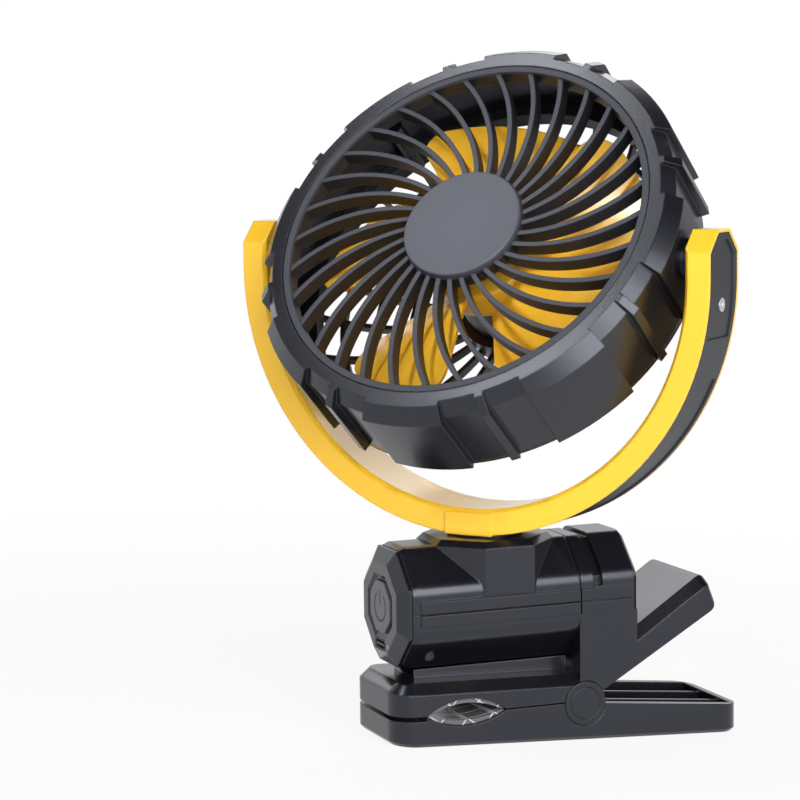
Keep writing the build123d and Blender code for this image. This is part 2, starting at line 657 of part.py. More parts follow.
with BuildPart() as upper_clip:
    extrude(outline(Plane.YZ, (-CLIP_FRONT, JAW_PLANE), (-CLIP_FRONT, JAW_TOP_FRONT),
                    (HOUSING_SEAM, JAW_TOP_REAR), (HOUSING_SEAM, -LIP_HEIGHT), (HOUSING_REAR, -LIP_HEIGHT),
                    (HOUSING_REAR, HANDLE_ROOT_Z), (HANDLE_TOP_Y, HANDLE_TOP_Z),
                    (HANDLE_END_Y, HANDLE_END_Z), (PIN_Y, PIN_Z), (PIN_Y - EAR_R, JAW_PLANE)),
            amount=CLIP_WIDTH / 2, both=True)
    extrude(outline(Plane.YZ, (PLINTH_FRONT, PLINTH_FOOT), (PLINTH_FRONT, -HOUSING_FLATS / 2),
                    (HOUSING_SEAM, -HOUSING_FLATS / 2), (HOUSING_SEAM, PLINTH_FOOT)),
            amount=PLINTH_WIDTH / 2, both=True)
    extrude(plan(HANDLE_END_Y, HANDLE_CORNER), amount=3 * BASE_AXIS_HEIGHT, mode=Mode.INTERSECT)
    chamfer(upper_clip.edges().filter_by(on_jaw_top), JAW_CHAMFER)
    chamfer(upper_clip.edges().filter_by(on_handle_top), HANDLE_CHAMFER)
    prism(Plane.XZ, INNER_FLATS, HOUSING_WALL - HOUSING_REAR, -HOUSING_SEAM, mode=Mode.SUBTRACT)
    extrude(lens(JAW_PLANE, EYE_RISE), amount=CLIP_WIDTH, both=True, mode=Mode.SUBTRACT)
    both_sides(EAR_R + EAR_GAP, INNER_EAR_OUTSIDE, CLIP_WIDTH, PIN_Y, PIN_Z, Mode.SUBTRACT)
    rod(Plane.YZ, EAR_R + EAR_GAP, -INNER_EAR_INSIDE, INNER_EAR_INSIDE, ((PIN_Y, PIN_Z),), Mode.SUBTRACT)
    both_sides(EAR_R - EAR_GAP, INNER_EAR_INSIDE, INNER_EAR_OUTSIDE, PIN_Y, PIN_Z)
    rod(Plane.YZ, PIN_R + RUNNING, -CLIP_WIDTH, CLIP_WIDTH, ((PIN_Y, PIN_Z),), Mode.SUBTRACT)
    for low, high in HANDLE_BAYS:
        bay = outline(Plane.YZ.offset(low), (BAY_FRONT, handle_under(BAY_FRONT) - CUT),
                      (BAY_FRONT, handle_top(BAY_FRONT) - HANDLE_WALL),
                      (BAY_REAR, handle_top(BAY_REAR) - HANDLE_WALL),
                      (BAY_REAR, handle_under(BAY_REAR) - CUT))
        extrude(bay, amount=high - low, mode=Mode.SUBTRACT)
upper_clip.part.label = "upper_clip"
export_step(upper_clip.part.moved(BASE), "parts/upper_clip.step")

with BuildPart() as upper_pad:
    pad(JAW_PLANE, EYE_RISE)
upper_pad.part.label = "upper_pad"
export_step(upper_pad.part.moved(BASE), "parts/upper_pad.step")

with BuildPart() as lower_clip:
    extrude(outline(Plane.YZ, (EYE_FRONT, LOWER_PLANE), (EYE_FRONT, JAW_PLANE - JAW_MOUTH),
                    (-CLIP_FRONT, JAW_PLANE - JAW_MOUTH), (-CLIP_FRONT, ground(-CLIP_FRONT)),
                    (TRAY_END_Y, ground(TRAY_END_Y)), (TRAY_END_Y, TRAY_END_Z), (PIN_Y, PIN_Z),
                    (PIN_Y - EAR_R, LOWER_PLANE)), amount=CLIP_WIDTH / 2, both=True)
    extrude(plan(TRAY_END_Y, HANDLE_CORNER), amount=3 * BASE_AXIS_HEIGHT, mode=Mode.INTERSECT)
    chamfer(lower_clip.edges().filter_by(on_sole), SOLE_CHAMFER)
    extrude(lens(LOWER_PLANE, -EYE_FALL), amount=CLIP_WIDTH, both=True, mode=Mode.SUBTRACT)
    rear = TRAY_END_Y - HANDLE_WALL
    tray = outline(Plane.YZ, (PIN_Y, PIN_Z), (PIN_Y, ground(PIN_Y) + TRAY_FLOOR),
                   (rear, ground(rear) + TRAY_FLOOR), (rear, PIN_Z))
    extrude(tray, amount=EAR_INSIDE, both=True, mode=Mode.SUBTRACT)
    rod(Plane.YZ, EAR_R + EAR_GAP, -EAR_INSIDE, EAR_INSIDE, ((PIN_Y, PIN_Z),), Mode.SUBTRACT)
    front = PIN_Y + EAR_R + 2 * EAR_GAP
    for x in (RIB_X, -RIB_X):
        rib_side = outline(Plane.YZ.offset(x - RIB_THICKNESS / 2), (front, ground(front) + TRAY_FLOOR / 2),
                           (rear + TRAY_FLOOR / 2, ground(rear) + TRAY_FLOOR / 2),
                           (rear + TRAY_FLOOR / 2, tray_top(rear) - RIB_DROP),
                           (front, tray_top(front) - RIB_DROP))
        extrude(rib_side, amount=RIB_THICKNESS)
    both_sides(EAR_R + EAR_GAP, CLIP_WIDTH / 2 - EAR_GROOVE, CLIP_WIDTH, PIN_Y, PIN_Z, Mode.SUBTRACT)
    both_sides(EAR_R, EAR_INSIDE, CLIP_WIDTH / 2, PIN_Y, PIN_Z)
    both_sides(PIN_HEAD_R + FIT, CLIP_WIDTH / 2 - PIN_HEAD, CLIP_WIDTH / 2, PIN_Y, PIN_Z, Mode.SUBTRACT)
    both_sides(PIN_R + FIT, EAR_INSIDE - CUT, CLIP_WIDTH / 2, PIN_Y, PIN_Z, Mode.SUBTRACT)
lower_clip.part.label = "lower_clip"
export_step(lower_clip.part.moved(BASE), "parts/lower_clip.step")

with BuildPart() as lower_pad:
    pad(LOWER_PLANE, -EYE_FALL)
lower_pad.part.label = "lower_pad"
export_step(lower_pad.part.moved(BASE), "parts/lower_pad.step")

with BuildPart() as hinge_pin:
    rod(Plane.YZ, PIN_HEAD_R, CLIP_WIDTH / 2 - PIN_HEAD, CLIP_WIDTH / 2, ((PIN_Y, PIN_Z),))
    rod(Plane.YZ, PIN_R, PIN_HEAD - CLIP_WIDTH / 2, CLIP_WIDTH / 2 - PIN_HEAD, ((PIN_Y, PIN_Z),))
hinge_pin.part.label = "hinge_pin"
export_step(hinge_pin.part.moved(BASE), "parts/hinge_pin.step")

with BuildPart() as hinge_cap:
    rod(Plane.YZ, PIN_HEAD_R, -CLIP_WIDTH / 2, PIN_HEAD - CLIP_WIDTH / 2, ((PIN_Y, PIN_Z),))
hinge_cap.part.label = "hinge_cap"
export_step(hinge_cap.part.moved(BASE), "parts/hinge_cap.step")

# Torsion spring, base frame: two legs and a coil of tangent arcs about the pin
SPRING_START = SPRING_LOWER_LEG_ANGLE + QUARTER_TURN
SPRING_END = SPRING_UPPER_LEG_ANGLE - QUARTER_TURN + 360 * (SPRING_FULL_TURNS + 1)
SPRING_TURNS = (SPRING_END - SPRING_START) / 360


def coil_point(share):
    """A point of the coil, at a share of its length."""
    angle = radians(SPRING_START + share * (SPRING_END - SPRING_START))
    x = SPRING_PITCH * SPRING_TURNS * (share - 1 / 2)
    return PIN + Vector(x, SPRING_R * cos(angle), SPRING_R * sin(angle))


def coil_heading(share):
    """The coil's direction there."""
    angle = radians(SPRING_START + share * (SPRING_END - SPRING_START))
    return Vector(SPRING_PITCH / (2 * pi), -SPRING_R * sin(angle), SPRING_R * cos(angle)).normalized()


with BuildPart() as torsion_spring:
    with BuildLine() as wire:
        Line(coil_point(0) - coil_heading(0) * SPRING_LEG, coil_point(0))
        for step in range(SPRING_STEPS):
            first = coil_point(step / SPRING_STEPS)
            last = coil_point((step + 1) / SPRING_STEPS)
            leave = coil_heading(step / SPRING_STEPS)
            arrive = coil_heading((step + 1) / SPRING_STEPS)
            gap = last - first
            both = leave + arrive
            lean = both.dot(both) - 4
            pull = gap.dot(both)
            reach = (pull - sqrt(pull ** 2 - lean * gap.dot(gap))) / lean
            middle = (first + last + (leave - arrive) * reach) / 2
            TangentArc(first, middle, tangent=leave)
            TangentArc(last, middle, tangent=arrive * -1)
        Line(coil_point(1), coil_point(1) + coil_heading(1) * SPRING_LEG)
    with BuildSketch(Plane(coil_point(0) - coil_heading(0) * SPRING_LEG, z_dir=coil_heading(0))):
        Circle(SPRING_WIRE_R)
    sweep(path=wire.wires()[0])
torsion_spring.part.label = "torsion_spring"
export_step(torsion_spring.part.moved(BASE), "parts/torsion_spring.step")

# Yoke, yoke frame
CHANNEL_CHAMFER = ARM_CHAMFER - YOKE_RIM * (2 - sqrt(2))
COVER_TOP = YOKE_TOP - YOKE_RIM
SCREW_DROP = YOKE_CENTRE - YOKE_SCREW_HEIGHT
POST_END = sqrt(COVER_SEAT ** 2 - (SCREW_DROP + YOKE_POST_R) ** 2)
SCREW_SEAT = COVER_SEAT + COVER_THICKNESS / 4
LEAD_CIRCLE = (CHANNEL_FLOOR + COVER_SEAT) / 2


def u_section(inner, outer, top):
    """A U in the XZ plane: straight arms over a half-round bottom."""
    with BuildSketch(Plane.XZ) as section:
        with BuildLine():
            ThreePointArc((-outer, YOKE_CENTRE), (0, YOKE_CENTRE - outer), (outer, YOKE_CENTRE))
            Polyline((outer, YOKE_CENTRE), (outer, top), (inner, top), (inner, YOKE_CENTRE))
            ThreePointArc((inner, YOKE_CENTRE), (0, YOKE_CENTRE - inner), (-inner, YOKE_CENTRE))
            Polyline((-inner, YOKE_CENTRE), (-inner, top), (-outer, top), (-outer, YOKE_CENTRE))
        make_face()
    return section.sketch


def arm_strip(inner, outer, width, top, corner, start):
    """A strip along both arms, its ends cut like the arms', clear of the yoke's bottom."""
    with BuildPart() as strip:
        extrude(u_section(inner, outer, top), amount=width / 2, both=True)
        chamfer(strip.edges().group_by(Axis.Z)[-1].filter_by(Axis.X), corner)
        with BuildSketch(Plane.XZ):
            with Locations((0, YOKE_CENTRE)):
                Rectangle(2 * start, 2 * outer, align=(Align.CENTER, Align.MAX))
        extrude(amount=width, both=True, mode=Mode.SUBTRACT)
    return strip.part


def on_inner_edge(edge):
    """Whether an edge runs along the inside of the U, at its front or back."""
    middle = edge @ 0.5
    reach = sqrt(middle.X ** 2 + min(0, middle.Z - YOKE_CENTRE) ** 2)
    return abs(reach - YOKE_INNER) < RUNNING and abs(abs(middle.Y) - YOKE_DEPTH / 2) < RUNNING


def lead(radius):
    """A round lead down the channel of the right arm and into the swivel's socket."""
    turn = QUARTER_TURN - LEAD_STOP
    stop = (LEAD_CIRCLE * cos(radians(turn)), YOKE_CENTRE - LEAD_CIRCLE * sin(radians(turn)))
    middle = (LEAD_CIRCLE * cos(radians(turn / 2)), YOKE_CENTRE - LEAD_CIRCLE * sin(radians(turn / 2)))
    with BuildLine(across(LEAD_OFFSET)) as path:
        Line((LEAD_CIRCLE, LEAD_TOP), (LEAD_CIRCLE, YOKE_CENTRE))
        ThreePointArc((LEAD_CIRCLE, YOKE_CENTRE), middle, stop)
    with BuildSketch(Plane.XY.offset(LEAD_TOP)) as section:
        with Locations((LEAD_CIRCLE, LEAD_OFFSET)):
            Circle(radius)
    return section.sketch, path.wires()[0]


with BuildPart() as yoke_frame:
    extrude(u_section(YOKE_INNER, YOKE_OUTER, YOKE_TOP), amount=YOKE_DEPTH / 2, both=True)
    chamfer(yoke_frame.edges().filter_by(on_inner_edge), ARM_INNER_CHAMFER)
    chamfer(yoke_frame.edges().group_by(Axis.Z)[-1].filter_by(Axis.X), ARM_CHAMFER)
    with BuildSketch(Plane.XZ):
        with Locations((0, (YOKE_PAD_TOP + YOKE_FLOOR) / 2)):
            Rectangle(YOKE_PAD_WIDTH, YOKE_PAD_TOP - YOKE_FLOOR)
    extrude(amount=YOKE_DEPTH / 2 + YOKE_PAD_PROUD, both=True)
    add(arm_strip(CHANNEL_FLOOR, YOKE_OUTER, CHANNEL_WIDTH, COVER_TOP - COVER_LEDGE,
                  CHANNEL_CHAMFER - COVER_LEDGE, COVER_START + COVER_LEDGE), mode=Mode.SUBTRACT)
    add(arm_strip(COVER_SEAT, YOKE_OUTER + CUT, COVER_WIDTH, COVER_TOP, CHANNEL_CHAMFER, COVER_START),
        mode=Mode.SUBTRACT)
    tunnel, tunnel_path = lead(LEAD_R + LEAD_GAP)
    sweep(tunnel, path=tunnel_path, mode=Mode.SUBTRACT)
    both_sides(YOKE_POST_R, CHANNEL_FLOOR - SCREW_DROP / 4, POST_END, 0, YOKE_SCREW_HEIGHT)
    both_sides(YOKE_SCREW_R + FIT, CHANNEL_FLOOR - SCREW_DROP / 4, POST_END, 0, YOKE_SCREW_HEIGHT,
               Mode.SUBTRACT)
    both_sides(TRUNNION_R + RUNNING, YOKE_INNER - CUT, CHANNEL_FLOOR + CUT, 0, PIVOT_HEIGHT, Mode.SUBTRACT)
    rod(Plane.XY, SWIVEL_R + FIT, YOKE_FLOOR - CUT, YOKE_FLOOR + SWIVEL_SOCKET, mode=Mode.SUBTRACT)
yoke_frame.part.label = "yoke_frame"
export_step(yoke_frame.part.moved(YOKE), "parts/yoke_frame.step")

with BuildPart() as covers:
    add(arm_strip(COVER_SEAT + FIT, YOKE_OUTER, COVER_WIDTH - 2 * FIT, COVER_TOP - FIT, CHANNEL_CHAMFER,
                  COVER_START + FIT))
    panel = arm_strip(YOKE_OUTER - COVER_PANEL_DEPTH, YOKE_OUTER + CUT, COVER_WIDTH - 2 * COVER_PANEL_EDGE,
                      COVER_TOP - COVER_PANEL_EDGE, CHANNEL_CHAMFER - COVER_PANEL_EDGE / 2,
                      COVER_START + 2 * COVER_PANEL_EDGE)
    with BuildSketch(Plane.XZ) as screw_band:
        with Locations((0, PIVOT_HEIGHT - COVER_PLAIN_DROP)):
            Rectangle(4 * YOKE_OUTER, COVER_PLAIN, align=(Align.CENTER, Align.MIN))
    band = extrude(screw_band.sketch, amount=YOKE_DEPTH, both=True, mode=Mode.PRIVATE)
    add(panel - band, mode=Mode.SUBTRACT)
    both_sides(YOKE_SCREW_R + FIT, COVER_SEAT - CUT, YOKE_OUTER, 0, YOKE_SCREW_HEIGHT, Mode.SUBTRACT)
    both_sides(YOKE_SCREW_HEAD_R + FIT, SCREW_SEAT, YOKE_OUTER + CUT, 0, YOKE_SCREW_HEIGHT, Mode.SUBTRACT)

with BuildPart() as yoke_cover_left:
    add(covers.part)
    split(bisect_by=Plane.YZ, keep=Keep.BOTTOM)
yoke_cover_left.part.label = "yoke_cover_left"
export_step(yoke_cover_left.part.moved(YOKE), "parts/yoke_cover_left.step")

with BuildPart() as yoke_cover_right:
    add(covers.part)
    split(bisect_by=Plane.YZ, keep=Keep.TOP)
yoke_cover_right.part.label = "yoke_cover_right"
export_step(yoke_cover_right.part.moved(YOKE), "parts/yoke_cover_right.step")

with BuildPart() as yoke_screws:
    both_sides(YOKE_SCREW_R, CHANNEL_FLOOR - SCREW_DROP / 4 + FIT, SCREW_SEAT, 0, YOKE_SCREW_HEIGHT)
    both_sides(YOKE_SCREW_HEAD_R, SCREW_SEAT, SCREW_SEAT + YOKE_SCREW_HEAD, 0, YOKE_SCREW_HEIGHT)
    for side in (1, -1):
        with BuildSketch(Plane.YZ.offset(side * (SCREW_SEAT + YOKE_SCREW_HEAD))):
            with Locations((0, YOKE_SCREW_HEIGHT)):
                Rectangle(SLOT_LENGTH, SLOT_WIDTH)
                Rectangle(SLOT_WIDTH, SLOT_LENGTH)
        extrude(amount=-side * SLOT_DEPTH, mode=Mode.SUBTRACT)
yoke_screws.part.label = "yoke_screws"
export_step(yoke_screws.part.moved(YOKE), "parts/yoke_screws.step")

with BuildPart() as motor_lead:
    lead_section, lead_path = lead(LEAD_R)
    sweep(lead_section, path=lead_path)
motor_lead.part.label = "motor_lead"
export_step(motor_lead.part.moved(YOKE), "parts/motor_lead.step")

with BuildPart() as swivel_bolt:
    rod(Plane.XY, SWIVEL_R, SWIVEL_BOTTOM, YOKE_FLOOR + SWIVEL_SOCKET - FIT)
    rod(Plane.XY, SWIVEL_BORE_R, SWIVEL_BOTTOM, YOKE_FLOOR + SWIVEL_SOCKET - FIT, mode=Mode.SUBTRACT)
swivel_bolt.part.label = "swivel_bolt"
export_step(swivel_bolt.part.moved(YOKE), "parts/swivel_bolt.step")

with BuildPart() as swivel_disc:
    rod(Plane.XY, SWIVEL_DISC_R, PEDESTAL_TOP + FIT, YOKE_FLOOR)
    rod(Plane.XY, SWIVEL_R + FIT, PEDESTAL_TOP, YOKE_FLOOR, mode=Mode.SUBTRACT)
swivel_disc.part.label = "swivel_disc"
export_step(swivel_disc.part.moved(YOKE), "parts/swivel_disc.step")

WASHER_TOP = INNER_FLATS / 2 - FIT

with BuildPart() as swivel_washer:
    rod(Plane.XY, SWIVEL_WASHER_R, WASHER_TOP - SWIVEL_WASHER, WASHER_TOP)
    rod(Plane.XY, SWIVEL_R + FIT, WASHER_TOP - SWIVEL_WASHER, WASHER_TOP, mode=Mode.SUBTRACT)
swivel_washer.part.label = "swivel_washer"
export_step(swivel_washer.part.moved(YOKE), "parts/swivel_washer.step")

with BuildPart() as swivel_nut:
    nut_top = WASHER_TOP - SWIVEL_WASHER
    prism(Plane.XY, SWIVEL_NUT_FLATS, nut_top - SWIVEL_NUT, nut_top, HEX)
    rod(Plane.XY, SWIVEL_R + FIT, SWIVEL_BOTTOM, WASHER_TOP, mode=Mode.SUBTRACT)
swivel_nut.part.label = "swivel_nut"
export_step(swivel_nut.part.moved(YOKE), "parts/swivel_nut.step")

# Fan head, head frame
BOSS_PLACES = [polar_point(FRAME_SCREW_CIRCLE, QUARTER_TURN * n + QUARTER_TURN / 2)
               for n in range(FRAME_SCREW_COUNT)]
BOSS_REAR = DRUM_REAR + REAR_SPIGOT
LUG_STEP = 360 / LUG_COUNT
LUG_PROFILE = ((BEZEL_OUTER_R - LUG_ROOT, FRONT_Z), (LUG_FRONT_R, FRONT_Z), (LUG_R, FRONT_Z - LUG_CHAMFER),
               (LUG_R, DRUM_REAR), (DRUM_R - LUG_ROOT, DRUM_REAR),
               (DRUM_R - LUG_ROOT, FRONT_Z - LUG_CHAMFER))

with BuildPart() as lug:
    revolve(outline(Plane.XZ, *LUG_PROFILE), axis=Axis.Z, revolution_arc=LUG_ARC)

with BuildPart() as rib:
    extrude(outline(Plane.XZ, *LUG_PROFILE), amount=RIB_WIDTH / 2, both=True)

with BuildPart() as front_frame:
    revolve(outline(Plane.XZ, (BEZEL_INNER_R, FRONT_Z), (BEZEL_OUTER_R, FRONT_Z),
                    (DRUM_R, FRONT_Z - LUG_CHAMFER), (DRUM_R, DRUM_REAR),
                    (DRUM_INNER_R, DRUM_REAR), (DRUM_INNER_R, FRONT_Z - LUG_CHAMFER),
                    (GRILLE_FLANGE_R + FIT, FRONT_Z - BEZEL_LIP), (BEZEL_INNER_R, FRONT_Z - BEZEL_LIP)),
            axis=Axis.Z)
    for n in range(LUG_COUNT):
        add(lug.part, rotation=(0, 0, n * LUG_STEP - LUG_ARC / 2))
        add(rib.part, rotation=(0, 0, n * LUG_STEP + LUG_STEP / 2))
    both_sides(TRUNNION_SHOULDER_R, DRUM_R - LUG_ROOT, SHOULDER_X, 0, 0)
    both_sides(TRUNNION_R, DRUM_R, CHANNEL_FLOOR - FIT, 0, 0)
    both_sides(TILT_SCREW_R + FIT, CHANNEL_FLOOR - TILT_SCREW_LENGTH, CHANNEL_FLOOR, 0, 0, Mode.SUBTRACT)
    rod(Plane.XY, FRAME_BOSS_R, BOSS_REAR + FIT, BOSS_REAR + FRAME_BOSS_LENGTH, BOSS_PLACES)
    rod(Plane.XY, FRAME_SCREW_R + FIT, BOSS_REAR, BOSS_REAR + FRAME_SCREW_LENGTH, BOSS_PLACES,
        Mode.SUBTRACT)
front_frame.part.label = "front_frame"
export_step(front_frame.part.moved(HEAD), "parts/front_frame.step")

with BuildPart() as tilt_washers:
    both_sides(TRUNNION_SHOULDER_R, SHOULDER_X + FIT, YOKE_INNER - FIT, 0, 0)
    both_sides(TRUNNION_R + FIT, SHOULDER_X, YOKE_INNER, 0, 0, Mode.SUBTRACT)
tilt_washers.part.label = "tilt_washers"
export_step(tilt_washers.part.moved(HEAD), "parts/tilt_washers.step")

with BuildPart() as tilt_screws:
    both_sides(TILT_SCREW_HEAD_R, CHANNEL_FLOOR + FIT, CHANNEL_FLOOR + FIT + TILT_SCREW_HEAD, 0, 0)
    both_sides(TILT_SCREW_R, CHANNEL_FLOOR - TILT_SCREW_LENGTH + FIT, CHANNEL_FLOOR + FIT, 0, 0)
tilt_screws.part.label = "tilt_screws"
export_step(tilt_screws.part.moved(HEAD), "parts/tilt_screws.step")


def vane_point(radius):
    """A point of a vane's spiral, whose angle grows steadily with its radius."""
    return polar_point(radius, VANE_PHASE + VANE_TWIST * (radius - GRILLE_HUB_R))


GRILLE_BACK = FRONT_Z - VANE_SET_BACK - GRILLE_DEPTH
HUB_RING_TOP = FRONT_Z + CAP_PROUD - CAP_HEAD

with BuildPart() as front_grille:
    with BuildSketch(Plane.XY.offset(GRILLE_BACK)) as vanes:
        with BuildLine():
            ThreePointArc(vane_point(GRILLE_HUB_R - GRILLE_HUB_WALL / 2),
                          vane_point((GRILLE_HUB_R + GRILLE_INNER_R) / 2),
                          vane_point(GRILLE_INNER_R + GRILLE_RIM / 2))
        trace(line_width=VANE_WIDTH)
        one = vanes.sketch_local
        for n in range(1, VANE_COUNT):
            add(one, rotation=360 / VANE_COUNT * n)
    extrude(amount=GRILLE_DEPTH)
    rod(Plane.XY, CAP_R + GRILLE_GAP, GRILLE_BACK, FRONT_Z, mode=Mode.SUBTRACT)
    revolve(outline(Plane.XZ, (GRILLE_INNER_R, FRONT_Z), (GRILLE_R, FRONT_Z),
                    (GRILLE_R, FRONT_Z - BEZEL_LIP - FIT), (GRILLE_FLANGE_R, FRONT_Z - BEZEL_LIP - FIT),
                    (GRILLE_FLANGE_R, FRONT_Z - BEZEL_LIP - GRILLE_FLANGE),
                    (GRILLE_R, FRONT_Z - BEZEL_LIP - GRILLE_FLANGE), (GRILLE_R, GRILLE_BACK),
                    (GRILLE_INNER_R, GRILLE_BACK)), axis=Axis.Z)
    rod(Plane.XY, GRILLE_HUB_R, GRILLE_BACK, HUB_RING_TOP)
    rod(Plane.XY, GRILLE_HUB_R - GRILLE_HUB_WALL, GRILLE_BACK + GRILLE_HUB_FLOOR, FRONT_Z,
        mode=Mode.SUBTRACT)
front_grille.part.label = "front_grille"
export_step(front_grille.part.moved(HEAD), "parts/front_grille.step")

with BuildPart() as grille_cap:
    rod(Plane.XY, CAP_R, HUB_RING_TOP, FRONT_Z + CAP_PROUD)
    fillet(grille_cap.edges().group_by(Axis.Z)[-1], CAP_ROUND)
    rod(Plane.XY, GRILLE_HUB_R - GRILLE_HUB_WALL - FIT, GRILLE_BACK + GRILLE_HUB_FLOOR, HUB_RING_TOP)
    rod(Plane.XY, GRILLE_HUB_R - 2 * GRILLE_HUB_WALL, GRILLE_BACK + GRILLE_HUB_FLOOR, HUB_RING_TOP,
        mode=Mode.SUBTRACT)
grille_cap.part.label = "grille_cap"
export_step(grille_cap.part.moved(HEAD), "parts/grille_cap.step")

DOME_OUTER = Vector(DRUM_INNER_R - FIT, DRUM_REAR)
DOME_CENTRE = Vector(POD_R - REAR_RIB_WIDTH, REAR_Z)


def dome(across_share, drop_share, inward=0):
    """A point of the rear cage's profile between its outer ring and its pod."""
    span = DOME_OUTER - DOME_CENTRE
    return (DOME_CENTRE.X + span.X * across_share - inward * (across_share > 1 / 2) / 2,
            DOME_CENTRE.Y + span.Y * drop_share + inward)


with BuildPart() as rear_rib:
    with BuildSketch(Plane.XZ):
        with BuildLine():
            outer_edge = ThreePointArc(dome(0, 0), dome(*REAR_BULGE_SHARES), dome(1, 1))
            Line(dome(1, 1), (DOME_OUTER.X - REAR_RIB_DEPTH, DRUM_REAR))
            ThreePointArc((DOME_OUTER.X - REAR_RIB_DEPTH, DRUM_REAR),
                          dome(*REAR_BULGE_SHARES, REAR_RIB_DEPTH), (DOME_CENTRE.X, REAR_Z + REAR_RIB_DEPTH))
            Line((DOME_CENTRE.X, REAR_Z + REAR_RIB_DEPTH), dome(0, 0))
        make_face()
    extrude(amount=REAR_RIB_WIDTH / 2, both=True)

with BuildPart() as rear_grille:
    rod(Plane.XY, REAR_FLANGE_R, DRUM_REAR - REAR_FLANGE, DRUM_REAR)
    rod(Plane.XY, DRUM_INNER_R - FIT, DRUM_REAR, BOSS_REAR)
    rod(Plane.XY, DRUM_INNER_R - 2 * REAR_RIB_DEPTH, DRUM_REAR - REAR_FLANGE, BOSS_REAR, mode=Mode.SUBTRACT)
    for n in range(REAR_RIB_COUNT):
        add(rear_rib.part, rotation=(0, 0, 360 / REAR_RIB_COUNT * n))
    for share in REAR_RING_SHARES:
        with BuildSketch(Plane.XZ):
            with Locations(outer_edge @ share):
                Rectangle(REAR_RING_WIDTH, REAR_RIB_DEPTH)
        revolve(axis=Axis.Z)
    rod(Plane.XY, POD_R, REAR_Z, POD_FACE + POD_CUP)
    rod(Plane.XY, MOTOR_R + FIT, POD_FACE, POD_FACE + POD_CUP, mode=Mode.SUBTRACT)
    rod(Plane.XY, FRAME_BOSS_R - 3 * FIT, DRUM_REAR - REAR_FLANGE, BOSS_REAR, BOSS_PLACES)
    rod(Plane.XY, FRAME_SCREW_R + FIT, REAR_Z, BOSS_REAR, BOSS_PLACES, Mode.SUBTRACT)
    rod(Plane.XY, FRAME_SCREW_HEAD_R + FIT, REAR_Z, DRUM_REAR + FIT, BOSS_PLACES, Mode.SUBTRACT)
    rod(Plane.XY, MOTOR_SCREW_R + FIT, REAR_Z, POD_FACE, MOTOR_SCREW_PLACES, Mode.SUBTRACT)
    rod(Plane.XY, MOTOR_SCREW_HEAD_R + FIT, REAR_Z, REAR_Z + MOTOR_SCREW_HEAD, MOTOR_SCREW_PLACES,
        Mode.SUBTRACT)
rear_grille.part.label = "rear_grille"
export_step(rear_grille.part.moved(HEAD), "parts/rear_grille.step")

with BuildPart() as frame_screws:
    rod(Plane.XY, FRAME_SCREW_HEAD_R, DRUM_REAR + FIT - FRAME_SCREW_HEAD, DRUM_REAR + FIT, BOSS_PLACES)
    rod(Plane.XY, FRAME_SCREW_R, DRUM_REAR, BOSS_REAR + FRAME_SCREW_LENGTH - FIT, BOSS_PLACES)
frame_screws.part.label = "frame_screws"
export_step(frame_screws.part.moved(HEAD), "parts/frame_screws.step")

# Motor and impeller, head frame
with BuildPart() as motor_end_plate:
    rod(Plane.XY, MOTOR_R, POD_FACE, MOTOR_REAR)
    rod(Plane.XY, BUSH_R + FIT, POD_FACE, MOTOR_REAR, mode=Mode.SUBTRACT)
    rod(Plane.XY, MOTOR_SCREW_R + FIT, POD_FACE, MOTOR_REAR, MOTOR_SCREW_PLACES, Mode.SUBTRACT)
motor_end_plate.part.label = "motor_end_plate"
export_step(motor_end_plate.part.moved(HEAD), "parts/motor_end_plate.step")

with BuildPart() as motor_screws:
    rod(Plane.XY, MOTOR_SCREW_HEAD_R, REAR_Z, REAR_Z + MOTOR_SCREW_HEAD, MOTOR_SCREW_PLACES)
    rod(Plane.XY, MOTOR_SCREW_R, REAR_Z, MOTOR_REAR, MOTOR_SCREW_PLACES)
motor_screws.part.label = "motor_screws"
export_step(motor_screws.part.moved(HEAD), "parts/motor_screws.step")

with BuildPart() as motor_case:
    rod(Plane.XY, MOTOR_R, MOTOR_REAR, MOTOR_FRONT)
    rod(Plane.XY, MOTOR_R - MOTOR_WALL, MOTOR_REAR, MOTOR_FRONT - MOTOR_WALL, mode=Mode.SUBTRACT)
    rod(Plane.XY, BUSH_R + FIT, MOTOR_REAR, MOTOR_FRONT, mode=Mode.SUBTRACT)
motor_case.part.label = "motor_case"
export_step(motor_case.part.moved(HEAD), "parts/motor_case.step")

with BuildPart() as magnet_arc:
    revolve(outline(Plane.XZ, (ROTOR_R + MAGNET_GAP, ROTOR_REAR), (MOTOR_R - MOTOR_WALL - FIT, ROTOR_REAR),
                    (MOTOR_R - MOTOR_WALL - FIT, ROTOR_REAR + ROTOR_LENGTH),
                    (ROTOR_R + MAGNET_GAP, ROTOR_REAR + ROTOR_LENGTH)),
            axis=Axis.Z, revolution_arc=MAGNET_ARC)

with BuildPart() as motor_magnets:
    add(magnet_arc.part)
    add(magnet_arc.part, rotation=(0, 0, 2 * QUARTER_TURN))
motor_magnets.part.label = "motor_magnets"
export_step(motor_magnets.part.moved(HEAD), "parts/motor_magnets.step")

with BuildPart() as motor_bushes:
    rod(Plane.XY, BUSH_R, MOTOR_FRONT - BUSH_LENGTH, MOTOR_FRONT + MOTOR_WALL)
    rod(Plane.XY, BUSH_R, POD_FACE + FIT, POD_FACE + BUSH_LENGTH)
    rod(Plane.XY, SHAFT_R + RUNNING, POD_FACE, MOTOR_FRONT + MOTOR_WALL, mode=Mode.SUBTRACT)
motor_bushes.part.label = "motor_bushes"
export_step(motor_bushes.part.moved(HEAD), "parts/motor_bushes.step")

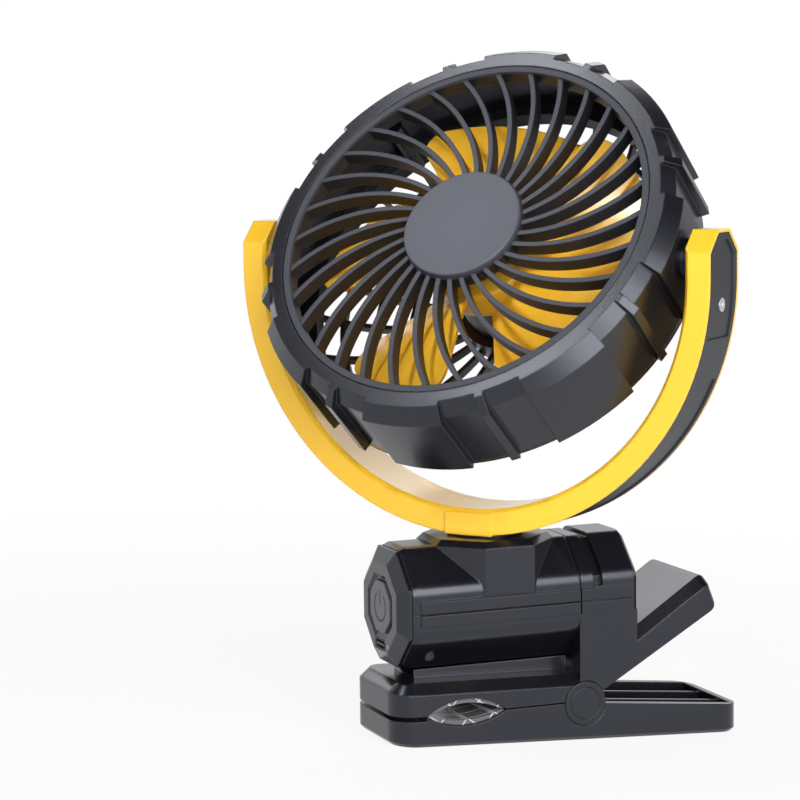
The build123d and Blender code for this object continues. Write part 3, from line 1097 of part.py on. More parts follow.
with BuildPart() as motor_rotor:
    rod(Plane.XY, ROTOR_R, ROTOR_REAR, ROTOR_REAR + ROTOR_LENGTH)
    for n in range(ROTOR_SLOTS):
        with BuildSketch(Plane.XY.offset(ROTOR_REAR).rotated((0, 0, 360 / ROTOR_SLOTS * n))):
            with Locations((ROTOR_R, 0)):
                Rectangle(2 * ROTOR_SLOT_DEPTH, ROTOR_SLOT_WIDTH)
        extrude(amount=ROTOR_LENGTH, mode=Mode.SUBTRACT)
    rod(Plane.XY, SHAFT_R, SHAFT_REAR, SHAFT_FRONT)
motor_rotor.part.label = "motor_rotor"
export_step(motor_rotor.part.moved(HEAD), "parts/motor_rotor.step")


def blade_section(radius, chord, pitch, camber, middle):
    """A thin curved section across a blade. It comes forward as it goes round."""
    along = Vector(cos(radians(pitch)), sin(radians(pitch)))
    up = Vector(-sin(radians(pitch)), cos(radians(pitch)))
    centre = Vector(0, middle)
    with BuildSketch(Plane.YZ.offset(radius)) as section:
        with BuildLine():
            ThreePointArc(centre - along * (chord / 2), centre + up * camber, centre + along * (chord / 2))
        trace(line_width=BLADE_THICKNESS)
    return section.sketch


def blade_plan():
    """A blade's outline from the front: a sector with two rounded corners."""
    turn = BLADE_SPREAD / 2
    with BuildSketch(Plane.XY) as section:
        with BuildLine():
            Line((0, 0), polar_point(BLADE_TIP_R, -turn))
            ThreePointArc(polar_point(BLADE_TIP_R, -turn), (BLADE_TIP_R, 0), polar_point(BLADE_TIP_R, turn))
            Line(polar_point(BLADE_TIP_R, turn), (0, 0))
        make_face()
        fillet(section.vertices().sort_by(Axis.X)[1:], BLADE_CORNER)
    return section.sketch


with BuildPart() as blade:
    loft([blade_section(HUB_R - 2 * HUB_WALL, BLADE_ROOT_CHORD, BLADE_ROOT_PITCH, BLADE_ROOT_CAMBER,
                        BLADE_ROOT_MIDDLE),
          blade_section(BLADE_TIP_R + CUT, BLADE_TIP_CHORD, BLADE_TIP_PITCH, BLADE_TIP_CAMBER,
                        BLADE_TIP_MIDDLE)])
    extrude(blade_plan(), amount=BLADE_TIP_R, both=True, mode=Mode.INTERSECT)
    rod(Plane.XY, HUB_R - HUB_WALL / 2, -BLADE_TIP_R, BLADE_TIP_R, mode=Mode.SUBTRACT)

with BuildPart() as impeller:
    rod(Plane.XY, HUB_R, HUB_FRONT - HUB_SKIRT, HUB_FRONT)
    fillet(impeller.edges().group_by(Axis.Z)[-1], HUB_WALL)
    rod(Plane.XY, HUB_R - HUB_WALL, HUB_FRONT - HUB_SKIRT, HUB_FRONT - HUB_WALL, mode=Mode.SUBTRACT)
    rod(Plane.XY, HUB_SLEEVE_R, HUB_FRONT - HUB_SKIRT + HUB_WALL, HUB_FRONT - HUB_WALL)
    for n in range(BLADE_COUNT):
        add(blade.part, rotation=(0, 0, 360 / BLADE_COUNT * n + BLADE_PHASE))
    rod(Plane.XY, SHAFT_R + RUNNING, HUB_FRONT - HUB_SKIRT, HUB_FRONT, mode=Mode.SUBTRACT)
impeller.part.label = "impeller"
export_step(impeller.part.moved(HEAD), "parts/impeller.step")

with BuildPart() as impeller_nut:
    prism(Plane.XY, NUT_FLATS, HUB_FRONT, HUB_FRONT + NUT_LENGTH, HEX)
    rod(Plane.XY, SHAFT_R + RUNNING, HUB_FRONT, HUB_FRONT + NUT_LENGTH, mode=Mode.SUBTRACT)
impeller_nut.part.label = "impeller_nut"
export_step(impeller_nut.part.moved(HEAD), "parts/impeller_nut.step")
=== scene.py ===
# %% [markdown]
# # Dressing a clip-on fan
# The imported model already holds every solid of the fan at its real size. This lesson adds what a
# photograph shows on top of that: finishes, small surface details, light and a camera. Everything is in
# metres and in the model's own frame, so a new piece is placed by the model's joints and boxes.

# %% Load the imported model
import json
import math

import bmesh
import bpy
from mathutils import Matrix, Vector


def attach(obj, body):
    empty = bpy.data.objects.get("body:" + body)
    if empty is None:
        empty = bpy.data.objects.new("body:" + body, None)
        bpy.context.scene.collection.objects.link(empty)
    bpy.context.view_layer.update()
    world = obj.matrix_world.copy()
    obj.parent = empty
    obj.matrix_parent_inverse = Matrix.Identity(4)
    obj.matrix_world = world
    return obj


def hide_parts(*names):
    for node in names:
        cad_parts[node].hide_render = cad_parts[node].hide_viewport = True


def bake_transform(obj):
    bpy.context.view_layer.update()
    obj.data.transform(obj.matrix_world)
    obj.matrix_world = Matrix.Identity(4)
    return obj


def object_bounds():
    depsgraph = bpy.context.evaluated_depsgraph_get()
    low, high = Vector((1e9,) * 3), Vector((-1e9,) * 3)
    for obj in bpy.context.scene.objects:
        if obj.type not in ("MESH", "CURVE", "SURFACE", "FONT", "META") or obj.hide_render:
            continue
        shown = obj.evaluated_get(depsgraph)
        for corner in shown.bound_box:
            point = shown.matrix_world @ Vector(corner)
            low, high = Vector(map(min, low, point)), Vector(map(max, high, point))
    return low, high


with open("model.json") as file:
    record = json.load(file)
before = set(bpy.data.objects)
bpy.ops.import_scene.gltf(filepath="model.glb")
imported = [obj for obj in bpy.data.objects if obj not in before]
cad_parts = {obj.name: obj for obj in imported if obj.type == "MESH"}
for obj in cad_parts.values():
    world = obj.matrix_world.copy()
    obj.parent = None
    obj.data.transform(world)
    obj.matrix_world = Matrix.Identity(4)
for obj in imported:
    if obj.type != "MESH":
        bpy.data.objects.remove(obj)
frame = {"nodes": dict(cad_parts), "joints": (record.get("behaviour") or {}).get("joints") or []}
nodes = frame["nodes"]
cad_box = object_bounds()
scene = bpy.context.scene
scene.view_settings.view_transform = "Standard"
print("nodes:", len(nodes), "box:", [[round(c, 4) for c in corner] for corner in cad_box])

# %% [markdown]
# ## Two frames from the joints
# The fan stands swivelled and tilted, so its parts don't line up with the world. Each joint knows its
# axis, and two axes give a whole frame: the base's and the head's. Details are then drawn in the simple
# upright frame of the part they belong to.

# %% Frames of the base and the head
joints = {joint["name"]: joint for joint in frame["joints"]}


def frame_from(origin, x_axis, z_axis):
    x_axis, z_axis = Vector(x_axis), Vector(z_axis)
    turn = Matrix((x_axis, z_axis.cross(x_axis), z_axis)).transposed()
    return Matrix.Translation(origin) @ turn.to_4x4()


swivel, tilt, spin, hinge = (joints[n] for n in ("yoke_swivel", "head_tilt", "fan_spin", "clip_open"))
base_frame = frame_from(swivel["pos_m"], hinge["axis"], swivel["axis"])
head_frame = frame_from(tilt["pos_m"], tilt["axis"], spin["axis"])
print("head looks along", [round(c, 3) for c in spin["axis"]])

# %% [markdown]
# ## The camera
# The photograph was matched by fitting a camera to corners of the housing and the yoke. The result is
# a long lens from the front right, a little above the housing. It is stated in the base's frame: a turn
# about the swivel axis, a rise, a small roll, and the point it looks at.

# %% Camera
MM = 0.001
AIM_HEIGHT, AIM_RIGHT, CAMERA_DISTANCE = 65.24 * MM, -27.14 * MM, 907.41 * MM
FOCAL_LENGTH, SENSOR_WIDTH = 125.33, 36.0
turn, rise, roll = (math.radians(angle) for angle in (68.15, 6.76, -0.68))
back = Vector((math.sin(turn) * math.cos(rise), -math.cos(turn) * math.cos(rise), math.sin(rise)))
level_right = Vector((math.cos(turn), math.sin(turn), 0))
level_up = back.cross(level_right)
right = level_right * math.cos(roll) + level_up * math.sin(roll)
up = level_up * math.cos(roll) - level_right * math.sin(roll)
aim = Vector((0, 0, AIM_HEIGHT)) + right * AIM_RIGHT
view = Matrix((right, up, back)).transposed().to_4x4()

camera = bpy.data.objects.new("camera", bpy.data.cameras.new("camera"))
scene.collection.objects.link(camera)
camera.matrix_world = base_frame @ Matrix.Translation(aim + back * CAMERA_DISTANCE) @ view
camera.data.sensor_width = SENSOR_WIDTH
camera.data.lens = FOCAL_LENGTH
camera.data.clip_end = 20.0
scene.camera = camera
print("camera at", [round(c, 3) for c in camera.matrix_world.translation])

# %% [markdown]
# ## Sums on sockets
# A finish is a small sum, such as a base level plus a share of a noise. Writing it with node calls
# hides the sum, so one class wraps a socket and gives it plus, minus and times. A second class holds a
# node tree and adds any other node with one method, and a third holds a material.

# %% Socket maths


class Value:
    """A node's output that can be used in Python sums."""

    def __init__(self, graph, socket):
        self.graph, self.socket = graph, socket

    def _math(self, operation, *operands):
        return self.graph.node("ShaderNodeMath", {"operation": operation}, dict(enumerate(operands)))

    def __add__(self, other):
        return self._math("ADD", self, other)

    def __sub__(self, other):
        return self._math("SUBTRACT", self, other)

    def __rsub__(self, other):
        return self._math("SUBTRACT", other, self)

    def __mul__(self, other):
        return self._math("MULTIPLY", self, other)

    def larger(self, other):
        return self._math("MAXIMUM", self, other)

    def above(self, edge, soft):
        """0 below edge, 1 above it, with a soft step between."""
        settings = {"interpolation_type": "SMOOTHSTEP"}
        return self.graph.node("ShaderNodeMapRange", settings,
                               {"Value": self, "From Min": edge - soft, "From Max": edge + soft})

    __radd__, __rmul__ = __add__, __mul__


class Graph:
    """A node tree that takes any node in one call."""

    def __init__(self, tree):
        self.tree = tree

    def node(self, kind, settings=None, inputs=None, output=0):
        node = self.tree.nodes.new(kind)
        for name, value in (settings or {}).items():
            setattr(node, name, value)
        for name, value in (inputs or {}).items():
            self.put(node.inputs[name], value)
        return Value(self, node.outputs[output])

    def put(self, socket, value):
        if isinstance(value, Value):
            self.tree.links.new(value.socket, socket)
        else:
            socket.default_value = value

    def backdrop_rays(self):
        """1 for rays that look at the surroundings: the camera's, and those through gloss or glass."""
        seen = [self.node("ShaderNodeLightPath", output=f"Is {kind} Ray")
                for kind in ("Camera", "Glossy", "Transmission")]
        return seen[0].larger(seen[1]).larger(seen[2])


class Finish(Graph):
    """A material built from one Principled shader and whatever feeds it."""

    def __init__(self, name, **constants):
        self.material = bpy.data.materials.new(name)
        self.material.use_nodes = True
        super().__init__(self.material.node_tree)
        self.shader = self.tree.nodes["Principled BSDF"]
        for socket, value in constants.items():
            self.shader.inputs[socket.replace("_", " ")].default_value = value

    def feed(self, **inputs):
        for socket, value in inputs.items():
            self.put(self.shader.inputs[socket.replace("_", " ")], value)

    def place(self, local=None):
        """Object coordinates, turned into a part's own frame when one is given."""
        spot = self.node("ShaderNodeTexCoord", output="Object")
        if local is None:
            return spot
        inverse = local.inverted()
        moved = {"Vector": spot, "Location": inverse.translation, "Rotation": inverse.to_euler()}
        return self.node("ShaderNodeMapping", {"vector_type": "POINT"}, moved)

    def noise(self, place, scale, detail=2.0):
        return self.node("ShaderNodeTexNoise", {}, {"Vector": place, "Scale": scale, "Detail": detail})

    def blend(self, mask, first, second):
        inputs = {"Factor": mask, 6: (*first, 1.0), 7: (*second, 1.0)}
        return self.node("ShaderNodeMix", {"data_type": "RGBA"}, inputs, output=2)

    def relief(self, height, depth, edge):
        """Bump over softly rounded edges."""
        rounded = self.node("ShaderNodeBevel", {"samples": 4}, {"Radius": edge})
        return self.node("ShaderNodeBump", {}, {"Height": height, "Distance": depth, "Normal": rounded})


# %% [markdown]
# ## Moulded plastic
# Most of the fan is injection-moulded. The mould leaves a fine spark-eroded grain that softens the
# highlights, colour drifts very slightly over the part, and handling polishes it a little. Edges are
# never razor sharp, so a rounded-edge normal catches the light along them.

# %% Moulded plastics
CLOUD_SCALE, ROUGH_SWING = 24.0, 0.1


def moulded(name, colour, roughness, grain=1400.0, depth=0.01 * MM, edge=0.6 * MM, drift=0.12):
    finish = Finish(name, IOR=1.55, Specular_Tint=(0.85, 0.89, 1.0, 1.0))
    place = finish.place()
    clouds = finish.noise(place, CLOUD_SCALE, 3.0)
    fine = finish.noise(place, grain, 2.0)
    dark = tuple(c * (1 - drift) for c in colour)
    light = tuple(min(1.0, c * (1 + drift)) for c in colour)
    finish.feed(Base_Color=finish.blend(clouds, dark, light),
                Roughness=clouds * ROUGH_SWING + (roughness - ROUGH_SWING / 2),
                Normal=finish.relief(fine, depth, edge))
    return finish


# The second colour is painted shade: a darker copy of the grille colour for the vanes' sides.
GRILLE_FACE, GRILLE_SIDE_PAINTED_SHADE = (0.034, 0.035, 0.043), (0.006, 0.006, 0.008)
housing_black = moulded("housing_black", (0.0055, 0.0058, 0.0085), 0.24)
grille_black = moulded("grille_black", GRILLE_FACE, 0.48, grain=900.0)
cover_black = moulded("cover_black", (0.005, 0.005, 0.0065), 0.5)
inner_black = moulded("inner_black", (0.006, 0.006, 0.007), 0.4)
cap_grey = moulded("cap_grey", (0.053, 0.0545, 0.066), 0.5, grain=1100.0, depth=0.06 * MM)
yoke_yellow = moulded("yoke_yellow", (0.93, 0.54, 0.028), 0.16,
                      depth=0.004 * MM, edge=0.8 * MM, drift=0.03)
button_grey = moulded("button_grey", (0.075, 0.077, 0.09), 0.4, depth=0.03 * MM)
nylon = moulded("nylon", (0.8, 0.79, 0.74), 0.5)
board = moulded("board", (0.01, 0.12, 0.04), 0.35)
jacket = moulded("jacket", (0.01, 0.01, 0.01), 0.5)
wrap = moulded("wrap", (0.05, 0.12, 0.35), 0.3)
print("materials so far:", len(bpy.data.materials))

# %% [markdown]
# The vanes' front faces are textured like the cap and catch the light. Their sides get painted shade: a
# much darker copy of the grille colour stands for the shade they lie in. The front is a plane in the
# head's frame, so depth along the spin axis tells the two apart.

# %% Vane faces, and painted shade on their sides
MID_VANE = (30 * MM, 50 * MM)
FACE_SKIN, FACE_SOFT = 0.25 * MM, 0.15 * MM
grille_points = [head_frame.inverted() @ v.co for v in nodes["front_grille"].data.vertices]
vane_front = max(p.z for p in grille_points if MID_VANE[0] < p.xy.length < MID_VANE[1])
depth = grille_black.node("ShaderNodeSeparateXYZ", {}, {0: grille_black.place(head_frame)}, output="Z")
face_not_painted_shade = depth.above(vane_front - FACE_SKIN, FACE_SOFT)
# Painted shade: the vane sides get a much darker colour than the faces, standing for the shade they lie
# in.
grille_black.feed(Base_Color=grille_black.blend(face_not_painted_shade, GRILLE_SIDE_PAINTED_SHADE, GRILLE_FACE))
print("vane faces at", round(vane_front, 4))

# %% [markdown]
# ## Metals
# Screws, nuts and the spring are plain plated steel: bright, a little rough, with faint streaks. The
# bushes are bronze, the rotor is copper and iron, and the magnets and the inlet's shell are dark.

# %% Metals
STREAK_SCALE, STREAK_SWING, STREAK_LOW = 700.0, 0.15, 0.07


def plated(name, colour, roughness):
    finish = Finish(name, Metallic=1.0)
    streaks = finish.noise(finish.place(), STREAK_SCALE, 3.0)
    dark = tuple(c * 0.85 for c in colour)
    finish.feed(Base_Color=finish.blend(streaks, dark, colour),
                Roughness=streaks * STREAK_SWING + (roughness - STREAK_LOW),
                Normal=finish.relief(streaks, 0.01 * MM, 0.2 * MM))
    return finish


zinc = plated("zinc", (0.68, 0.68, 0.7), 0.3)
bronze = plated("bronze", (0.6, 0.42, 0.18), 0.4)
dark_metal = plated("dark_metal", (0.12, 0.12, 0.13), 0.6)
core = plated("core", (0.42, 0.3, 0.2), 0.45)
print("metals:", [metal.material.name for metal in (zinc, bronze, dark_metal, core)])

# %% [markdown]
# ## See-through plastics
# The blades are amber and let light through, and the jaw pads are a milky clear plastic with a fine
# grid. Some transmission gives both a soft glow, and light that scatters inside warms the blades.

# %% See-through plastics
amber = Finish("amber", IOR=1.4, Transmission_Weight=0.3, Subsurface_Weight=0.8,
               Subsurface_Scale=1.5 * MM, Subsurface_Radius=(1.0, 0.7, 0.2))
amber_cloud = amber.noise(amber.place(), 30.0, 2.0)
amber.feed(Base_Color=amber.blend(amber_cloud, (1.0, 0.52, 0.03), (1.0, 0.6, 0.06)),
           Roughness=amber_cloud * 0.1 + 0.13,
           Normal=amber.relief(amber_cloud, 0.01 * MM, 0.4 * MM))

GRID_TURN = math.radians(52)
pad_clear = Finish("pad_clear", IOR=1.4, Transmission_Weight=0.3)
pad_place = pad_clear.place(base_frame @ Matrix.Rotation(GRID_TURN, 4, "X"))
cells = pad_clear.node("ShaderNodeTexVoronoi", {"feature": "DISTANCE_TO_EDGE"},
                       {"Vector": pad_place, "Scale": 150.0, "Randomness": 0.0})
ridge = cells.above(0.06, 0.03)
pad_clear.feed(Base_Color=pad_clear.blend(ridge, (0.62, 0.63, 0.66), (0.16, 0.16, 0.17)),
               Roughness=ridge * 0.1 + 0.2,
               Normal=pad_clear.relief(1 - ridge, 0.6 * MM, 0.3 * MM))

lens_clear = Finish("lens_clear", IOR=1.45, Transmission_Weight=0.6)
lens_cloud = lens_clear.noise(lens_clear.place(), 300.0)
lens_clear.feed(Base_Color=lens_clear.blend(lens_cloud, (0.7, 0.72, 0.74), (0.85, 0.86, 0.88)),
                Roughness=lens_cloud * 0.1 + 0.15)
print("see-through:", [clear.material.name for clear in (amber, pad_clear, lens_clear)])

# %% [markdown]
# ## Which finish goes where
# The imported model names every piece, so one table dresses them all.

# %% Dress the solids
dressing = {
    housing_black: ("housing_upper housing_lower front_cap rear_cover upper_clip lower_clip hinge_cap "
                    "front_frame swivel_disc hinge_pin").split(),
    cover_black: ["yoke_cover_left", "yoke_cover_right"],
    grille_black: ["front_grille"],
    inner_black: ["rear_grille", "tact_switch", "motor_case", "motor_end_plate"],
    cap_grey: ["grille_cap"],
    button_grey: ["power_button"],
    yoke_yellow: ["yoke_frame"],
    amber: ["impeller"],
    pad_clear: ["upper_pad", "lower_pad"],
    lens_clear: ["charge_light"],
    zinc: ("yoke_screws housing_screws tilt_screws frame_screws motor_screws impeller_nut swivel_bolt "
           "swivel_nut swivel_washer torsion_spring").split(),
    bronze: ["motor_bushes"],
    dark_metal: ["motor_magnets", "usb_socket"],
    core: ["motor_rotor"],
    nylon: ["tilt_washers"],
    board: ["circuit_board"],
    jacket: ["motor_lead"],
    wrap: ["battery_cells"],
}
for finish, names in dressing.items():
    for name in names:
        nodes[name].data.materials.clear()
        nodes[name].data.materials.append(finish.material)
print("dressed:", sum(len(names) for names in dressing.values()), "of", len(nodes))

# %% [markdown]
# ## New pieces
# Three shapes are added or bettered: the handle's end, the spring and the button's sign. Each is drawn
# as a bmesh, with Blender's modelling operators and no switch of mode, and becomes an object the same
# way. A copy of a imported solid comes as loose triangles, so its corners are joined first.

# %% From bmesh to object
MERGE = 0.01 * MM


def make_piece(name, mesh, finish):
    """Turns a bmesh into a linked object with one finish."""
    data = bpy.data.meshes.new(name)
    mesh.to_mesh(data)
    mesh.free()
    data.materials.append(finish.material)
    piece = bpy.data.objects.new(name, data)
    scene.collection.objects.link(piece)
    print(name, "faces:", len(data.polygons))
    return piece


def merged_copy(node):
    """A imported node's triangles with their corners joined."""
    mesh = bmesh.new()
    mesh.from_mesh(nodes[node].data)
    bmesh.ops.remove_doubles(mesh, verts=mesh.verts, dist=MERGE)
    return mesh


def points_of(geometry):
    return [item for item in geometry if isinstance(item, bmesh.types.BMVert)]


# %% [markdown]
# ## The end of the handle
# On the real clip the handle's end leans outwards and its rim is well rounded, so that the thumb finds a
# soft corner. The solid there is square and a little steep. A merged copy of the clip stands for it: its
# top is sheared down, a plane cuts the end off, and the cut's outline grows into a bevelled end.

# %% Cut the handle
CUT_AT, SHEAR_FROM, SHEAR, FLAT = 64.0 * MM, 46.0 * MM, -0.087, math.radians(0.5)
UNDERSIDE_AT, UNDERSIDE_SLOPE, WALL_CLEAR = Vector((0, 26.9, -33.9)) * MM, 0.578, 5.0 * MM
into_base = base_frame.inverted()
clip_mesh = merged_copy("upper_clip")
bmesh.ops.transform(clip_mesh, matrix=into_base, verts=clip_mesh.verts)
bmesh.ops.dissolve_limit(clip_mesh, angle_limit=FLAT, verts=clip_mesh.verts, edges=clip_mesh.edges)
top_points = [v for v in clip_mesh.verts if v.co.y > SHEAR_FROM and v.co.z - UNDERSIDE_AT.z
              > UNDERSIDE_SLOPE * (v.co.y - UNDERSIDE_AT.y) + WALL_CLEAR]
root = Matrix.Translation((0, SHEAR_FROM, 0))
lower = Matrix(((1, 0, 0, 0), (0, 1, 0, 0), (0, SHEAR, 1, 0), (0, 0, 0, 1)))
bmesh.ops.transform(clip_mesh, matrix=root @ lower @ root.inverted(), verts=top_points)
bmesh.ops.bisect_plane(clip_mesh, geom=clip_mesh.verts[:] + clip_mesh.edges[:] + clip_mesh.faces[:],
                       plane_co=(0, CUT_AT, 0), plane_no=(0, 1, 0), clear_outer=True)
print("clip faces left:", len(clip_mesh.faces))

# %% Close the bays under the handle
LEVEL = 0.001 * MM
rim = [e for e in clip_mesh.edges if e.is_boundary]
rim_low, rim_high = (pick(v.co.z for e in rim for v in e.verts) for pick in (min, max))
bay_roofs = [e for e in rim if abs(e.verts[0].co.z - e.verts[1].co.z) < LEVEL
             and rim_low + LEVEL < e.verts[0].co.z < rim_high - LEVEL]
for roof in bay_roofs:
    feet = []
    for corner in reversed(roof.verts):
        post = next(e for e in corner.link_edges if e.is_boundary and e is not roof)
        feet.append(post.other_vert(corner))
    clip_mesh.faces.new((*roof.verts, *feet))
print("bays closed:", len(bay_roofs))

# %% Grow the new end
END_FOOT, END_TOP = Vector((0, 76.0, -5.5)) * MM, Vector((0, 71.6, 5.84)) * MM
END_ROUND, ROUND_STEPS = 3.2 * MM, 5
outline = [e for e in clip_mesh.edges if e.is_boundary]
grown = bmesh.ops.extrude_edge_only(clip_mesh, edges=outline)["geom"]
end_points = points_of(grown)
slope = (END_TOP - END_FOOT) / (rim_high - rim_low)
lean = Matrix(((1, 0, 0, 0), (0, 0, slope.y, END_FOOT.y), (0, 0, slope.z, END_FOOT.z), (0, 0, 0, 1)))
bmesh.ops.transform(clip_mesh, matrix=lean @ Matrix.Translation((0, 0, -rim_low)), verts=end_points)
bmesh.ops.contextual_create(clip_mesh, geom=[e for e in clip_mesh.edges if e.is_boundary])
half_width = max(v.co.x for v in end_points)
spare = [v for v in end_points if v.co.z < END_FOOT.z + LEVEL and abs(v.co.x) < half_width - LEVEL]
struts = [e for v in spare for e in v.link_edges if e.other_vert(v).co.y < CUT_AT + LEVEL]
bmesh.ops.dissolve_edges(clip_mesh, edges=struts, use_verts=True)
end_face = max(clip_mesh.faces, key=lambda face: face.calc_center_median().y)
bmesh.ops.bevel(clip_mesh, geom=end_face.edges[:], offset=END_ROUND, affect="EDGES",
                segments=ROUND_STEPS, profile=0.5, material=-1)
bmesh.ops.recalc_face_normals(clip_mesh, faces=clip_mesh.faces)
if clip_mesh.calc_volume(signed=True) < 0:
    bmesh.ops.reverse_faces(clip_mesh, faces=clip_mesh.faces)
print("open edges left:", sum(not e.is_manifold for e in clip_mesh.edges))

# %% Put the clip in place
CLIP_SHARP = math.radians(28)
bmesh.ops.transform(clip_mesh, matrix=base_frame, verts=clip_mesh.verts)
clip_shell = make_piece("clip_shell", clip_mesh, housing_black)
clip_shell.data.shade_smooth()
clip_shell.data.set_sharp_from_angle(angle=CLIP_SHARP)
clip_shell.modifiers.new("flat_walls", "WEIGHTED_NORMAL").keep_sharp = True
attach(clip_shell, "base")
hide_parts("upper_clip")

# %% [markdown]
# ## A smooth copy of the spring
# The spring's two legs push on different halves of the clip, so as one rigid piece it would cut
# through the handle when the clip opens. The coil runs along the pin. Here a merged copy stays one
# rigid piece: it is shaded smooth with its sharp edges kept, baked in place, and the solid is hidden.

# %% Torsion spring
COIL_SHARE, SPRING_SHARP = 0.5, math.radians(40)
spring_mesh = merged_copy("torsion_spring")
wound_spring = make_piece("wound_spring", spring_mesh, zinc)
wound_spring.data.shade_smooth()
wound_spring.data.set_sharp_from_angle(angle=SPRING_SHARP)
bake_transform(wound_spring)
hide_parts("torsion_spring")

# %% [markdown]
# ## The button's sign
# The button carries the usual on-off sign: a ring with a gap at the top and a short bar in the gap. Each
# stroke is a flat strip, spun from a few points and given a hair of thickness so that it reads as paint.

# %% On-off sign
SIGN_R, SIGN_STROKE, SIGN_PROUD, RING_STEPS = 4.7 * MM, 0.7 * MM, 0.03 * MM, 40
BAR_LENGTH, BAR_HEIGHT, HALF_GAP = 4.4 * MM, 3.2 * MM, math.radians(35)
button_front = min((into_base @ v.co).y for v in nodes["power_button"].data.vertices)
sign_paint = moulded("sign_paint", (0.006, 0.006, 0.007), 0.6, edge=0.1 * MM)
sign = bmesh.new()
inner = sign.verts.new((0, 0, SIGN_R - SIGN_STROKE / 2))
outer = sign.verts.new((0, 0, SIGN_R + SIGN_STROKE / 2))
edge = sign.edges.new((inner, outer))
bmesh.ops.rotate(sign, cent=(0, 0, 0), matrix=Matrix.Rotation(HALF_GAP, 3, "Y"), verts=sign.verts)
bmesh.ops.spin(sign, geom=[inner, outer, edge], cent=(0, 0, 0), axis=(0, 1, 0), steps=RING_STEPS,
               angle=2 * math.pi - 2 * HALF_GAP)
bar = bmesh.ops.create_grid(sign, x_segments=1, y_segments=1, size=0.5)["verts"]
bmesh.ops.scale(sign, vec=(SIGN_STROKE, BAR_LENGTH, 1), verts=bar)
bmesh.ops.rotate(sign, cent=(0, 0, 0), matrix=Matrix.Rotation(math.pi / 2, 3, "X"), verts=bar)
bmesh.ops.translate(sign, vec=(0, 0, BAR_HEIGHT), verts=bar)
bmesh.ops.translate(sign, vec=(0, button_front - SIGN_PROUD, 0), verts=sign.verts)
bmesh.ops.remove_doubles(sign, verts=sign.verts, dist=MERGE)
backs = bmesh.ops.extrude_face_region(sign, geom=sign.faces[:])["geom"]
bmesh.ops.translate(sign, vec=(0, 2 * SIGN_PROUD, 0), verts=points_of(backs))
bmesh.ops.transform(sign, matrix=base_frame, verts=sign.verts)
bmesh.ops.recalc_face_normals(sign, faces=sign.faces)
button_sign = make_piece("button_sign", sign, sign_paint)
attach(button_sign, "button")

# %% [markdown]
# ## Floor and light
# A white floor under soft lamps, as in a studio. The floor is a pale surface that the camera sees a
# little brighter, so the ground reads white and still takes the fan's soft shadow.

# %% Floor
FLOOR_HALF, FLOOR_DROP, NEAR_WHITE = 6.0, 0.2 * MM, 0.88
floor = bmesh.new()
bmesh.ops.create_grid(floor, x_segments=1, y_segments=1, size=FLOOR_HALF)
white = Finish("floor_white", Base_Color=(0.86, 0.86, 0.86, 1), Roughness=0.9)
away = white.node("ShaderNodeVectorMath", {"operation": "LENGTH"}, {0: white.place()}, output="Value")
share = white.backdrop_rays() * (away.above(0.35, 0.25) * (1 - NEAR_WHITE) + NEAR_WHITE)
glow = white.node("ShaderNodeEmission", {}, {"Color": (1, 1, 1, 1), "Strength": 1.0})
matt = Value(white, white.shader.outputs[0])
paper = white.node("ShaderNodeMixShader", {}, {0: share, 1: matt, 2: glow})
white.put(white.tree.nodes["Material Output"].inputs["Surface"], paper)
floor_piece = make_piece("floor", floor, white)
floor_piece.location.z = -FLOOR_DROP

# %% [markdown]
# One large soft box at the camera's right is the key. A strip behind draws the top of the yoke and the
# handle.

# %% Soft boxes
centre = (cad_box[0] + cad_box[1]) / 2
lens_axes = camera.matrix_world.to_3x3()
flat_right, towards = (Vector((lens_axes.col[n].x, lens_axes.col[n].y, 0)).normalized() for n in (0, 2))


def add_lamp(name, kind, power):
    lamp = bpy.data.objects.new(name, bpy.data.lights.new(name, kind))
    scene.collection.objects.link(lamp)
    lamp.data.energy = power
    return lamp


def aim_lamp(lamp, location, target):
    lamp.location = location
    lamp.rotation_euler = (target - lamp.location).to_track_quat("-Z", "Y").to_euler()


def soft_box(name, sideways, ahead, height, size, power):
    """An area lamp placed from the camera's point of view and aimed at the fan."""
    lamp = add_lamp(name, "AREA", power)
    lamp.data.shape = "RECTANGLE"
    lamp.data.size, lamp.data.size_y = size
    aim_lamp(lamp, centre + flat_right * sideways + towards * ahead + Vector((0, 0, height)), centre)


soft_box("key_right", sideways=0.35, ahead=1.05, height=0.35, size=(1.3, 0.8), power=20.0)
soft_box("strip_behind", sideways=0.0, ahead=-0.9, height=0.6, size=(1.4, 0.4), power=3.2)

# %% [markdown]
# The bezel is flat and glossy, so it shines only where it mirrors a lamp: two small ones are put where
# the mirror law asks. A narrow lamp on the fan's axis reaches the blades through the vanes.

# %% Lamps for the head


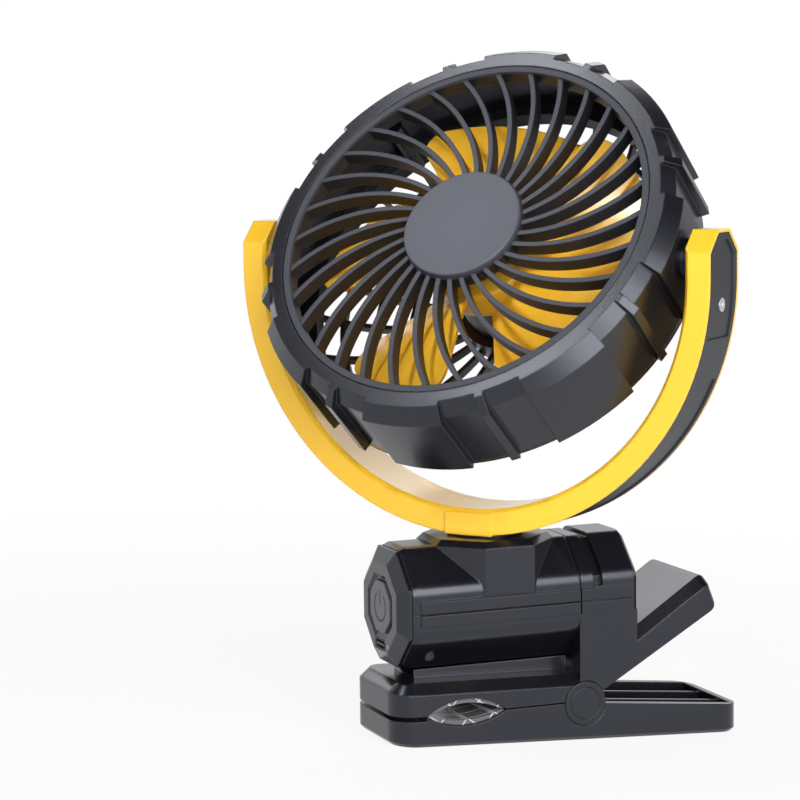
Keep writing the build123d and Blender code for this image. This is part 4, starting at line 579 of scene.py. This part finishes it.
def glint(name, spot, facing, distance, size, power):
    """A small lamp where a flat face would mirror it to the camera."""
    sight = (spot - camera.matrix_world.translation).normalized()
    lamp = add_lamp(name, "AREA", power)
    lamp.data.size = size
    aim_lamp(lamp, spot + sight.reflect(facing) * distance, spot)


rim_facing = head_frame.to_3x3().col[2]
for name, spot in {"rim_light_high": (0, 68, 17), "rim_light_low": (40, -54, 17)}.items():
    glint(name, head_frame @ (Vector(spot) * MM), rim_facing, distance=0.8, size=0.1, power=0.5)

SNOOT_DISTANCE, SNOOT_RADIUS, SNOOT_CONE = 0.9, 0.045, math.radians(7.4)
snoot = add_lamp("snoot", "SPOT", 36.0)
snoot.data.shadow_soft_size, snoot.data.spot_size, snoot.data.spot_blend = SNOOT_RADIUS, SNOOT_CONE, 0.3
snoot.visible_glossy = False
snoot.matrix_world = head_frame @ Matrix.Translation((0, 0, SNOOT_DISTANCE))

# %% [markdown]
# The surround is a white tent with a dark top, so that glossy faces that look up stay black. It is
# dimmer at the camera's right, where the sides of the clip look, and the camera itself always sees
# white.

# %% Surround
TOP_DARK, SIDE_DIM, FILL_SHARE, DIM_WAY = 0.96, 0.45, 0.5, Vector((0.854, 0, -0.513))
world = bpy.data.worlds.new("surround")
scene.world = world
world.use_nodes = True
sky = Graph(world.node_tree)
heading = sky.node("ShaderNodeTexCoord", output="Generated")
climb = sky.node("ShaderNodeSeparateXYZ", {}, {0: heading}, output="Z")
aside = sky.node("ShaderNodeVectorMath", {"operation": "DOT_PRODUCT"},
                 {0: heading, 1: lens_axes @ DIM_WAY}, output="Value")
walls = 1 - aside.above(0.75, 0.25) * SIDE_DIM
ceiling = 1 - climb.above(0.6, 0.15) * TOP_DARK
tent = ceiling * walls * (sky.backdrop_rays() * (1 - FILL_SHARE) + FILL_SHARE)
strength = tent.larger(sky.node("ShaderNodeLightPath", output="Is Camera Ray"))
backdrop = sky.tree.nodes["Background"]
backdrop.inputs["Color"].default_value = (1, 1, 1, 1)
sky.put(backdrop.inputs["Strength"], strength)
print("surround:", len(sky.tree.nodes), "nodes")
